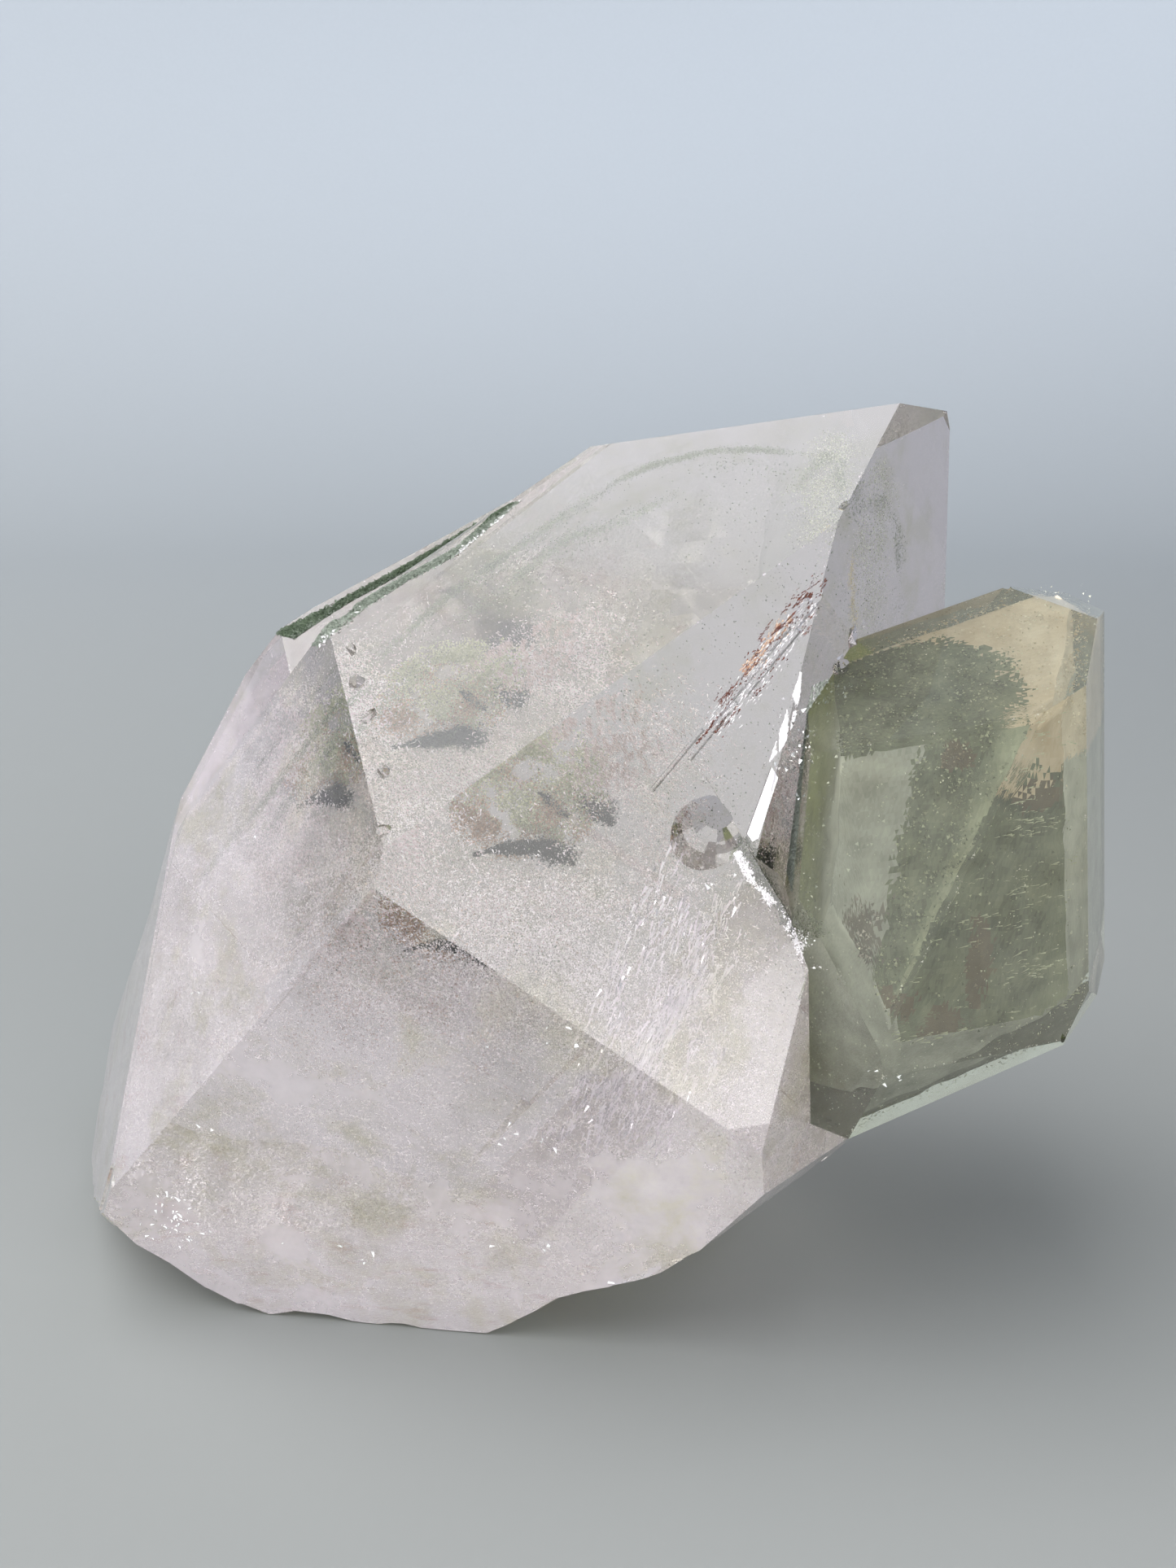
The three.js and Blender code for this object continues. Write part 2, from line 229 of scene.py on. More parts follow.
@dataclass(frozen=True)
class ClearQuartz:
    """Rock crystal as it grew: glossy faces with faint steps, clear at the tip and milky near its root."""

    name: str = "rock_crystal_quartz"
    ior: float = 1.544
    roughness: float = 0.012
    cast: str = "f1f3dc"
    density: float = 6.0
    milk: str = "f8eff7"
    stained_milk: str = "e5ded5"
    milk_share: float = 0.27
    tip_share: float = 0.015
    fade_start: float = -14.0
    fade_end: float = 13.0
    # Extra milk under the front face's lower right, which also stands in for light there: partly painted
    # light.
    milk_and_light_share: float = 0.18
    bank_middle: Point = (19.0, -38.0, 38.0)
    milk_and_light_inner: float = 6.0
    milk_and_light_outer: float = 27.0

    def material(self, axis: Array, centre: Array) -> bpy.types.Material:
        """Glass-clear quartz that scatters light where tiny bubbles fill it.

        Args:
            axis: the large crystal's long axis.
            centre: the point its distances are measured from, in millimetres.

        Returns:
            The material.
        """
        material, tree = new_material(self.name)
        where = add(tree, "TexCoord").outputs["Object"]
        # Bands of bubbles about 11 mm wide, so the milk ends in tongues and not in a line.
        drift = add(tree, "TexNoise", {}, {"Vector": where, "Scale": 90.0, "Detail": 6.0, "Roughness": 0.68,
                                           "Distortion": 0.25})
        along = add(tree, "VectorMath", {"operation": "DOT_PRODUCT"},
                    {0: where, 1: [float(a) for a in axis]}).outputs["Value"]
        wander = add(tree, "Math", {"operation": "MULTIPLY_ADD"},
                     {0: drift.outputs["Fac"], 1: 0.05, 2: -0.025}).outputs[0]
        level = add(tree, "Math", {"operation": "ADD"}, {0: along, 1: wander}).outputs[0]
        root = float(axis @ centre)
        milky = add(tree, "MapRange", {"interpolation_type": "SMOOTHSTEP"}, {
            "Value": level, "From Min": (root + self.fade_start) * MM,
            "From Max": (root + self.fade_end) * MM,
            "To Min": self.milk_share, "To Max": self.tip_share}).outputs[0]
        # More milk lies under the lower right of the front face: partly real milk, partly painted light that
        # brightens that patch as light from the front would.
        off = add(tree, "VectorMath", {"operation": "DISTANCE"},
                  {0: where, 1: [v * MM for v in self.bank_middle]})
        bank = add(tree, "MapRange", {"interpolation_type": "SMOOTHSTEP"}, {
            "Value": off.outputs["Value"], "From Min": self.milk_and_light_inner * MM,
            "From Max": self.milk_and_light_outer * MM, "To Min": self.milk_and_light_share, "To Max": 0.0}).outputs[0]
        milky = add(tree, "Math", {"operation": "ADD"}, {0: milky, 1: bank}).outputs[0]
        cloudy = add(tree, "MapRange", {}, {"Value": drift.outputs["Color"], "From Min": 0.3, "From Max": 0.7,
                                            "To Min": 0.65, "To Max": 1.3}).outputs[0]
        scattered = add(tree, "Math", {"operation": "MULTIPLY"}, {0: milky, 1: cloudy}).outputs[0]
        passed = add(tree, "Math", {"operation": "SUBTRACT"}, {0: 1.0, 1: scattered}).outputs[0]
        # Faint stains in the milk, where the cloud is thin.
        thin = add(tree, "MapRange", {}, {"Value": drift.outputs["Fac"], "From Min": 0.5,
                                          "From Max": 0.36}).outputs[0]
        tint = add(tree, "Mix", {"data_type": "RGBA"}, {
            0: thin, 6: linear(self.milk), 7: linear(self.stained_milk)})
        # Growth steps about 8 mm apart, too low to see except as a shimmer.
        steps = add(tree, "TexNoise", {}, {"Vector": where, "Scale": 120.0, "Detail": 0.0}).outputs["Fac"]
        smooth = add(tree, "Bump", {}, {"Height": steps, "Strength": 0.03,
                                        "Distance": 0.25 * MM}).outputs["Normal"]
        shader = add(tree, "BsdfPrincipled", {}, {
            "Base Color": tint.outputs[2], "Transmission Weight": passed, "IOR": self.ior,
            "Roughness": self.roughness, "Normal": smooth})
        cast = add(tree, "VolumeAbsorption", {}, {"Color": linear(self.cast), "Density": self.density})
        add(tree, "OutputMaterial", {}, {"Surface": shader.outputs[0], "Volume": cast.outputs[0]})
        return material


@dataclass(frozen=True)
class BrokenQuartz:
    """Quartz where it broke: sugary and frosted, with small shell-shaped steps."""

    tint: str = "f3edee"
    stain: str = "c9a79c"
    roughness: float = 0.32
    passed: float = 0.5

    def material(self, clear: ClearQuartz) -> bpy.types.Material:
        """Frosted quartz of the same refraction and cast as the clear faces.

        Args:
            clear: the finish of the clear faces.

        Returns:
            The material.
        """
        material, tree = new_material("broken_quartz")
        where = add(tree, "TexCoord").outputs["Object"]
        # Grit about 0.8 mm across.
        grit = add(tree, "TexNoise", {}, {"Vector": where, "Scale": 1200.0, "Detail": 2.0}).outputs["Fac"]
        rough = add(tree, "Bump", {}, {"Height": grit, "Strength": 0.9,
                                       "Distance": 0.7 * MM}).outputs["Normal"]
        # Rusty pink stains about 6 mm across.
        patch = add(tree, "TexNoise", {}, {"Vector": where, "Scale": 160.0, "Detail": 3.0}).outputs["Fac"]
        stained = add(tree, "MapRange", {}, {"Value": patch, "From Min": 0.55, "From Max": 0.7}).outputs[0]
        tint = add(tree, "Mix", {"data_type": "RGBA"}, {
            0: stained, 6: linear(self.tint), 7: linear(self.stain)})
        shader = add(tree, "BsdfPrincipled", {}, {
            "Base Color": tint.outputs[2], "Transmission Weight": self.passed, "IOR": clear.ior,
            "Roughness": self.roughness, "Normal": rough})
        cast = add(tree, "VolumeAbsorption", {}, {"Color": linear(clear.cast), "Density": clear.density})
        add(tree, "OutputMaterial", {}, {"Surface": shader.outputs[0], "Volume": cast.outputs[0]})
        return material


@dataclass
class QuartzBody:
    """The clear outer body, made from the solid, with its broken surfaces frosted."""

    finish: ClearQuartz = field(default_factory=ClearQuartz)
    side_finish: ClearQuartz = field(default_factory=lambda: ClearQuartz(
        name="dusty_quartz", milk="eeeedd", stained_milk="e4e2cf", milk_share=0.08, tip_share=0.08,
        milk_and_light_share=0.0))
    merge_distance: float = 0.001
    flat_angle: float = 0.4
    flat_tolerance: float = 0.5
    shortest_edge: float = 3.0
    sharp_angle: float = 12.0
    frost_end: float = -22.0

    def copied(self) -> bmesh.types.BMesh:
        """A copy of the solid, with its loose triangles joined and its flat parts merged.

        Returns:
            The copy.
        """
        shell = bmesh.new()
        shell.from_mesh(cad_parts["quartz_cluster"].data)
        bmesh.ops.remove_doubles(shell, verts=shell.verts, dist=self.merge_distance * MM)
        bmesh.ops.dissolve_limit(shell, angle_limit=math.radians(self.flat_angle), verts=shell.verts,
                                 edges=shell.edges)
        bmesh.ops.triangulate(shell, faces=[f for f in shell.faces if len(f.verts) > 4])
        bmesh.ops.recalc_face_normals(shell, faces=shell.faces)
        return shell

    def sharp_edges(self, shell: bmesh.types.BMesh) -> Array:
        """The long sharp edges that stand out.

        Args:
            shell: the copy of the solid.

        Returns:
            For each edge its two ends, in metres, and the way it faces.
        """
        return np.array([
            (e.verts[0].co, e.verts[1].co, (e.link_faces[0].normal + e.link_faces[1].normal).normalized())
            for e in shell.edges
            if len(e.link_faces) == 2 and e.is_convex and e.calc_length() > self.shortest_edge * MM
            and math.degrees(e.calc_face_angle()) > self.sharp_angle])

    def build(self, grown_faces: Sequence[Facet], side_faces: Sequence[Facet], axis: Array,
              centre: Array) -> "Surface":
        """Copies the solid, joins its loose triangles and frosts the surfaces that are broken.

        Args:
            grown_faces: the grown faces of every crystal but the side one.
            side_faces: the side crystal's faces.
            axis: the large crystal's long axis.
            centre: the point its distances are measured from.

        Returns:
            The body's surface, for pieces that lie on it.
        """
        shell = self.copied()
        mesh = bpy.data.meshes.new("quartz")
        shell.to_mesh(mesh)
        centres = np.zeros(len(mesh.polygons) * 3)
        normals = np.zeros(len(mesh.polygons) * 3)
        mesh.polygons.foreach_get("center", centres)
        mesh.polygons.foreach_get("normal", normals)
        centres, normals = centres.reshape(-1, 3) / MM, normals.reshape(-1, 3)

        def lies_on(planes: Sequence[Facet]) -> Array:
            """Which faces of the mesh lie on one of some planes."""
            return np.any([(np.abs(plane.depth(centres)) < self.flat_tolerance)
                           & (normals @ np.array(plane.normal) > 0.995) for plane in planes], axis=0)

        on_side = lies_on(side_faces)
        frosted = ~lies_on(grown_faces) & ~on_side & ((centres - centre) @ axis < self.frost_end)
        mesh.polygons.foreach_set("material_index", np.where(on_side, 2, frosted).astype(np.int32))
        mesh.shade_flat()
        piece = bpy.data.objects.new("quartz", mesh)
        bpy.context.scene.collection.objects.link(piece)
        mesh.materials.append(self.finish.material(axis, centre))
        mesh.materials.append(BrokenQuartz().material(self.finish))
        mesh.materials.append(self.side_finish.material(axis, centre))
        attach(piece, "root")
        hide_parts("quartz_cluster")
        log.info("quartz: %d faces, %d of them frosted", len(mesh.polygons), int(frosted.sum()))
        surface = Surface(BVHTree.FromBMesh(shell), self.sharp_edges(shell))
        shell.free()
        return surface


@dataclass
class Surface:
    """The body's surface: for landing pieces on it, and its long sharp edges."""

    tree: BVHTree
    edges: Array

    def holds(self, points: Array, margin: float = 0.35) -> Array:
        """Which points lie inside the body.

        Args:
            points: places in millimetres.
            margin: how deep they have to lie, in millimetres.

        Returns:
            True or False for each point.
        """
        found = [self.tree.find_nearest(Vector(point * MM)) for point in points]
        foot = np.array([hit[0] for hit in found]) / MM
        outward = np.array([hit[1] for hit in found])
        return ((foot - points) * outward).sum(axis=1) > margin

    def land(self, points: Array, outward: Array, lift: float = 0.04) -> Array:
        """Drops points onto the surface along a direction.

        Args:
            points: places near the surface, in millimetres.
            outward: unit direction that points out of the body.
            lift: how far outside the surface they end, negative for inside.

        Returns:
            The places on the surface, without the points that meet nothing within 8 mm.
        """
        far = points + 4.0 * outward
        hits = [self.tree.ray_cast(Vector(start * MM), Vector(-outward), 8.0 * MM)[0] for start in far]
        return np.array([list(hit) for hit in hits if hit is not None]) / MM + lift * outward


# Shapes that the inclusions are made from

def unit(vectors: Array) -> Array:
    """Vectors scaled to length one, row by row."""
    return vectors / np.linalg.norm(vectors, axis=-1, keepdims=True)


def cloud(points: Array, size: float, seed: int) -> Array:
    """Smooth random values from 0 to 1 that change over a distance.

    Random values sit on a repeating cubic lattice of the given spacing. Between lattice points they
    are blended by the smooth weight 3t squared minus 2t cubed along each axis.

    Args:
        points: places in millimetres, one row each.
        size: lattice spacing in millimetres.
        seed: number that fixes the random values.

    Returns:
        One value per point.
    """
    lattice = np.random.default_rng(seed).random((24, 24, 24))
    where = points / size + 100.0
    low = np.floor(where).astype(int)
    t = where - low
    t = t * t * (3 - 2 * t)
    value = np.zeros(len(points))
    for corner in itertools.product((0, 1), repeat=3):
        weight = np.prod(np.where(np.array(corner) == 1, t, 1 - t), axis=1)
        cell = (low + np.array(corner)) % 24
        value += weight * lattice[cell[:, 0], cell[:, 1], cell[:, 2]]
    return value


def nearness(points: Array, centre: Sequence[float], reach: Sequence[float]) -> Array:
    """How near points are to a centre: e to the minus squared distance, each axis divided by its reach."""
    return np.exp(-(((points - np.array(centre)) / np.array(reach)) ** 2).sum(axis=1))


def ramp(values: Array, start: float, end: float) -> Array:
    """Values mapped so that start gives 0 and end gives 1, and kept between them."""
    return np.clip((values - start) / (end - start), 0.0, 1.0)


def patches(points: Array, share: float, coarse: float, fine: float, seed: int, start: float,
            end: float) -> Array:
    """Cloudy patches: a coarse and a fine cloud added up, with their contrast raised.

    Args:
        points: places in millimetres.
        share: the coarse cloud's share. The fine cloud has the rest.
        coarse: lattice spacing of the coarse cloud, in millimetres.
        fine: lattice spacing of the fine cloud.
        seed: the coarse cloud's seed. The fine cloud has the next one.
        start: sum that gives 0.
        end: sum that gives 1.

    Returns:
        One value from 0 to 1 for each point.
    """
    total = share * cloud(points, coarse, seed) + (1 - share) * cloud(points, fine, seed + 1)
    return ramp(total, start, end)


def swarm(middle: Point, spread: Point, count: int, rng: np.random.Generator) -> Array:
    """Places round a middle in a bell shape, in millimetres, each axis with its own spread."""
    return np.array(middle) + rng.normal(size=(count, 3)) * np.array(spread)


def thinned(places: Array, share: Array, rng: np.random.Generator) -> Array:
    """Some of the places: each is kept with a chance of its own."""
    return places[rng.random(len(places)) < share]


def on_line(line: Line, where: Array, knots: Sequence[float] | None = None) -> Array:
    """Places on a line of corners, straight between them.

    Args:
        line: the corners, in millimetres.
        where: how far along each place lies.
        knots: how far along each corner lies, or None for 0, 1, 2 and so on.

    Returns:
        The places, one row each.
    """
    corners = np.array(line)
    knots = range(len(corners)) if knots is None else knots
    return np.stack([np.interp(where, knots, corners[:, k]) for k in range(3)], axis=1)


@dataclass
class Body:
    """A body that flat faces enclose."""

    planes: Sequence[Facet]

    def holds(self, points: Array, margin: float = 0.0) -> Array:
        """Which points lie inside every face by more than a margin."""
        return np.all([plane.depth(points) > margin for plane in self.planes], axis=0)

    def corners(self) -> Array:
        """The body's corners.

        Every three faces meet in one point, found by solving normal times point equals distance for
        all threes at once. A point is a corner if it lies inside or on all the other faces.

        Returns:
            The corners in millimetres, one row each.
        """
        normals = np.array([plane.normal for plane in self.planes])
        offsets = np.array([plane.offset for plane in self.planes])
        threes = np.array(list(itertools.combinations(range(len(self.planes)), 3)))
        sets, ends = normals[threes], offsets[threes]
        usable = np.abs(np.linalg.det(sets)) > 1e-5
        points = np.linalg.solve(sets[usable], ends[usable][:, :, None])[:, :, 0]
        return points[(points @ normals.T <= offsets + 1e-4).all(axis=1)]

    def skin(self, cuts: int = 0) -> Tuple[Array, Array]:
        """The body's closed skin.

        Args:
            cuts: how many times each edge is cut, for a finer mesh.

        Returns:
            Points and triangles.
        """
        shell = bmesh.new()
        for point in self.corners():
            shell.verts.new(point)
        bmesh.ops.remove_doubles(shell, verts=shell.verts, dist=0.01)
        bmesh.ops.convex_hull(shell, input=shell.verts)
        if cuts:
            bmesh.ops.subdivide_edges(shell, edges=shell.edges, cuts=cuts, use_grid_fill=True)
        bmesh.ops.triangulate(shell, faces=shell.faces)
        bmesh.ops.recalc_face_normals(shell, faces=shell.faces)
        points = np.array([v.co for v in shell.verts])
        triangles = np.array([[v.index for v in f.verts] for f in shell.faces])
        shell.free()
        return points, triangles

    def on_skin(self, count: int, rng: np.random.Generator) -> Tuple[Array, Array]:
        """Random points spread evenly over the skin, with the skin's normal at each.

        A triangle is drawn with a chance in proportion to its area, and a point in it is a corner
        plus random shares of its two edges, folded back where the shares add up to more than one.

        Args:
            count: how many points.
            rng: source of random numbers.

        Returns:
            Points and normals.
        """
        points, triangles = self.skin()
        a, b, c = (points[triangles[:, k]] for k in range(3))
        cross = np.cross(b - a, c - a)
        area = np.linalg.norm(cross, axis=1)
        pick = rng.choice(len(triangles), count, p=area / area.sum())
        u, v = rng.random(count), rng.random(count)
        u, v = np.where(u + v > 1, 1 - u, u), np.where(u + v > 1, 1 - v, v)
        place = a[pick] + u[:, None] * (b - a)[pick] + v[:, None] * (c - a)[pick]
        return place, cross[pick] / area[pick][:, None]

    def within(self, count: int, rng: np.random.Generator) -> Array:
        """Random points spread evenly through the body: those of its box that lie inside it.

        Args:
            count: how many points, of which there are fewer if the body fills under a third of its box.
            rng: source of random numbers.

        Returns:
            The points.
        """
        low, high = self.corners().min(axis=0), self.corners().max(axis=0)
        points = low + (high - low) * rng.random((3 * count, 3))
        return points[self.holds(points)][:count]


def make_piece(name: str, points: Array, faces: Array, material: bpy.types.Material,
               tones: Array | None = None) -> bpy.types.Object:
    """Makes one piece of the object from arrays.

    Args:
        name: the piece's name.
        points: corners in millimetres, one row each.
        faces: corner numbers, one row for each face, all rows of one length.
        material: its finish.
        tones: one value for each face, kept as the attribute "tone".

    Returns:
        The piece, which rides on the body.
    """
    mesh = bpy.data.meshes.new(name)
    mesh.vertices.add(len(points))
    mesh.vertices.foreach_set("co", (points * MM).astype(np.float32).ravel())
    mesh.loops.add(faces.size)
    mesh.loops.foreach_set("vertex_index", faces.astype(np.int32).ravel())
    mesh.polygons.add(len(faces))
    mesh.polygons.foreach_set("loop_start", np.arange(0, faces.size, faces.shape[1], dtype=np.int32))
    if tones is not None:
        mesh.attributes.new("tone", "FLOAT", "FACE").data.foreach_set("value", tones.astype(np.float32))
    mesh.update(calc_edges=True)
    mesh.materials.append(material)
    piece = bpy.data.objects.new(name, mesh)
    bpy.context.scene.collection.objects.link(piece)
    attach(piece, "root")
    log.info("%s: %d faces", name, len(faces))
    return piece


@dataclass(frozen=True)
class FlakeFinish:
    """Mineral flakes: each has its own tone between two colours, with a soft gloss."""

    name: str
    dark: str
    pale: str
    roughness: float = 0.5
    metallic: float = 0.0

    def material(self) -> bpy.types.Material:
        """Two tones mixed flake by flake, varied again over about 4 mm.

        Returns:
            The material.
        """
        material, tree = new_material(self.name)
        where = add(tree, "TexCoord").outputs["Object"]
        tone = add(tree, "Attribute", {"attribute_name": "tone"}).outputs["Fac"]
        drift = add(tree, "TexNoise", {}, {"Vector": where, "Scale": 250.0, "Detail": 1.0}).outputs["Fac"]
        share = add(tree, "Math", {"operation": "MULTIPLY_ADD"}, {0: drift, 1: 0.6, 2: -0.3}).outputs[0]
        mixed = add(tree, "Math", {"operation": "ADD", "use_clamp": True}, {0: tone, 1: share}).outputs[0]
        tint = add(tree, "Mix", {"data_type": "RGBA"}, {0: mixed, 6: linear(self.dark), 7: linear(self.pale)})
        shader = add(tree, "BsdfPrincipled", {}, {"Base Color": tint.outputs[2], "Roughness": self.roughness,
                                                  "Metallic": self.metallic})
        add(tree, "OutputMaterial", {}, {"Surface": shader.outputs[0]})
        return material


@dataclass(frozen=True)
class Flakes:
    """How the flakes of one piece look: half lengths, how slim, how tipped and how far off their line."""

    small: float
    large: float
    slim: float = 0.8
    tilt: float = 1.0
    tone_bias: float = 1.0
    stray: float = 0.12

    def strew(self, name: str, places: Array, normals: Array, finish: FlakeFinish, rng: np.random.Generator,
              along: Array | None = None, within: Surface | None = None) -> bpy.types.Object:
        """Makes one piece of three-cornered flakes.

        Each flake lies in the plane of its normal, which is first tipped at random. Its corners are
        at the centre plus length times the first direction, and at the centre minus half of that
        plus or minus width times the second direction.

        Args:
            name: the piece's name.
            places: middles in millimetres.
            normals: the way the flakes face, one row each or one for all.
            finish: their finish.
            rng: source of random numbers.
            along: direction that the flakes point in, one row each, one for all or None for any.
            within: the surface that the flakes stay inside, or None.

        Returns:
            The piece.
        """
        if within is not None:
            kept = within.holds(places)
            normals = normals[kept] if normals.ndim == 2 else normals
            along = along[kept] if along is not None and along.ndim == 2 else along
            places = places[kept]
        count = len(places)
        outward = unit(normals + self.tilt * rng.normal(size=(count, 3)))
        lead = rng.normal(size=(count, 3))
        if along is not None:
            lead = along + self.stray * lead
        first = unit(lead - outward * (lead * outward).sum(axis=1, keepdims=True))
        length = self.small + (self.large - self.small) * rng.random(count) ** 2
        tip = first * length[:, None]
        side = np.cross(outward, first) * (length * self.slim)[:, None]
        points = np.stack([places + tip, places - 0.5 * tip + side, places - 0.5 * tip - side], axis=1)
        faces = np.arange(3 * count).reshape(-1, 3)
        return make_piece(name, points.reshape(-1, 3), faces, finish.material(),
                          rng.random(count) ** self.tone_bias)


# The finishes of the inclusions

# Chlorite is a soft green mica. As dust it dulls the face that it lies on.
CHLORITE = FlakeFinish("chlorite_dust", "3c4c3c", "7f8c72")
# Finer dust along the phantom's edges, paled by the quartz over it.
FINE_CHLORITE = FlakeFinish("fine_chlorite", "5d6c58", "9aa68c")
# So little chlorite that it only greys the view through it.
CHLORITE_MIST = FlakeFinish("pale_chlorite_mist", "a3ae94", "dde1cf")
# Chlorite in lumps, a green that is nearly black.
CHLORITE_LUMPS = FlakeFinish("dark_chlorite", "0c1612", "2c3c32")
# Chlorite mixed with clay, a pale yellow-green.
YELLOW_GREEN = FlakeFinish("yellow_green_chlorite", "b4bd93", "e6e9d2")
# The same where iron stains it, a pale rusty brown.
IRON_STAINED = FlakeFinish("iron_stained_chlorite", "a27a60", "dcc0a8")
# Tiny bubbles and healed cracks, which scatter all light and look white.
MILK = FlakeFinish("milky_bubbles", "f2ebf1", "ffffff", 0.6)
# The same with a trace of iron, a pinkish white.
PINK_MILK = FlakeFinish("pinkish_milk", "e6d3da", "ffffff")
# A feathery crack with iron in it, from pinkish brown to white.
PINK_FEATHERS = FlakeFinish("pink_brown_feathers", "a98c86", "eadfe0")
# An open crack, which mirrors the light like metal.
SILVER = FlakeFinish("mirror_bright_crack", "d8dadb", "ffffff", 0.16, 1.0)
# Healed cracks that face away from the light, a flat grey.
SHADED_FEATHERS = FlakeFinish("shaded_feathers", "8f8e90", "b9b5b8")
# Crumbs of clay and iron in the milk.
BEIGE = FlakeFinish("iron_beige_specks", "9b8678", "dccfc6")
# Rust, dark and without gloss, and rust that is rubbed thin.
RUST = FlakeFinish("iron_rust", "351710", "7c4230", 0.8)
RUST_SMEAR = FlakeFinish("iron_smear", "a5775c", "dcc2ab", 0.8)
# Iron ochre inside the quartz, a soft yellow.
YELLOW = FlakeFinish("iron_yellow", "d3c47c", "efe8bd")
# Small chips of the surface, which glitter: white chips, partly real and partly a painted highlight for the
# glitter.
CHIPS_AND_GLINTS = FlakeFinish("chips_with_painted_glints", "eef1f4", "ffffff", 0.3)
# A smooth growth step that catches the light, painted white as a highlight.
STEP_HIGHLIGHT = FlakeFinish("step_painted_highlight", "eef3f6", "ffffff", 0.25)
# Chlorite at the contact of the two crystals: a thin grey-green haze, and dark green in the seam.
CONTACT_HAZE = FlakeFinish("grey_green_haze", "8b928b", "b7bdb4")
CONTACT_CHLORITE = FlakeFinish("contact_chlorite", "39452f", "7b866a")
# The side crystal's body, matt and close: chlorite, its haze, clay, and two iron stains.
SIDE_GREEN = FlakeFinish("dense_chlorite", "28351d", "9ea48d", 0.7)
SIDE_HAZE = FlakeFinish("grey_haze", "7c807b", "c8cbc5", 0.7)
SIDE_CREAM = FlakeFinish("clay_cream", "bba78c", "eadfcf", 0.7)
SIDE_BROWN = FlakeFinish("iron_brown_chlorite", "4c4031", "7d715c", 0.7)
SIDE_PURPLE = FlakeFinish("grey_purple_chlorite", "47423e", "8d8680", 0.7)
# Loose grains of the same minerals, with a wider range of tones, so that each grain shows.
GREEN_GRAINS = FlakeFinish("chlorite_grains", "2f3c24", "b4ba9f")
HAZE_SPECKS = FlakeFinish("haze_specks", "a7aca0", "e9ebe4")
CREAM_GRAINS = FlakeFinish("clay_cream_grains", "c4b196", "f0e8d8")
BROWN_GRAINS = FlakeFinish("iron_brown_grains", "463a2e", "9c8e7a")
PURPLE_GRAINS = FlakeFinish("grey_purple_grains", "3a3432", "d0c9c6")
# Pale mica over the green, and thin pale lines where growth paused.
PALE_SPECKS = FlakeFinish("pale_specks", "c9cbb6", "f0efe3")
GROWTH_LINES = FlakeFinish("pale_growth_lines", "a9b193", "d3d6bf")
# The thin crystal's strip: dark green chlorite, and a grey haze under it.
THIN_CHLORITE = FlakeFinish("thin_crystal_chlorite", "2b3926", "57674f")
THIN_HAZE = FlakeFinish("thin_crystal_haze", "626b60", "8a9286")


# The inclusions of the large crystal

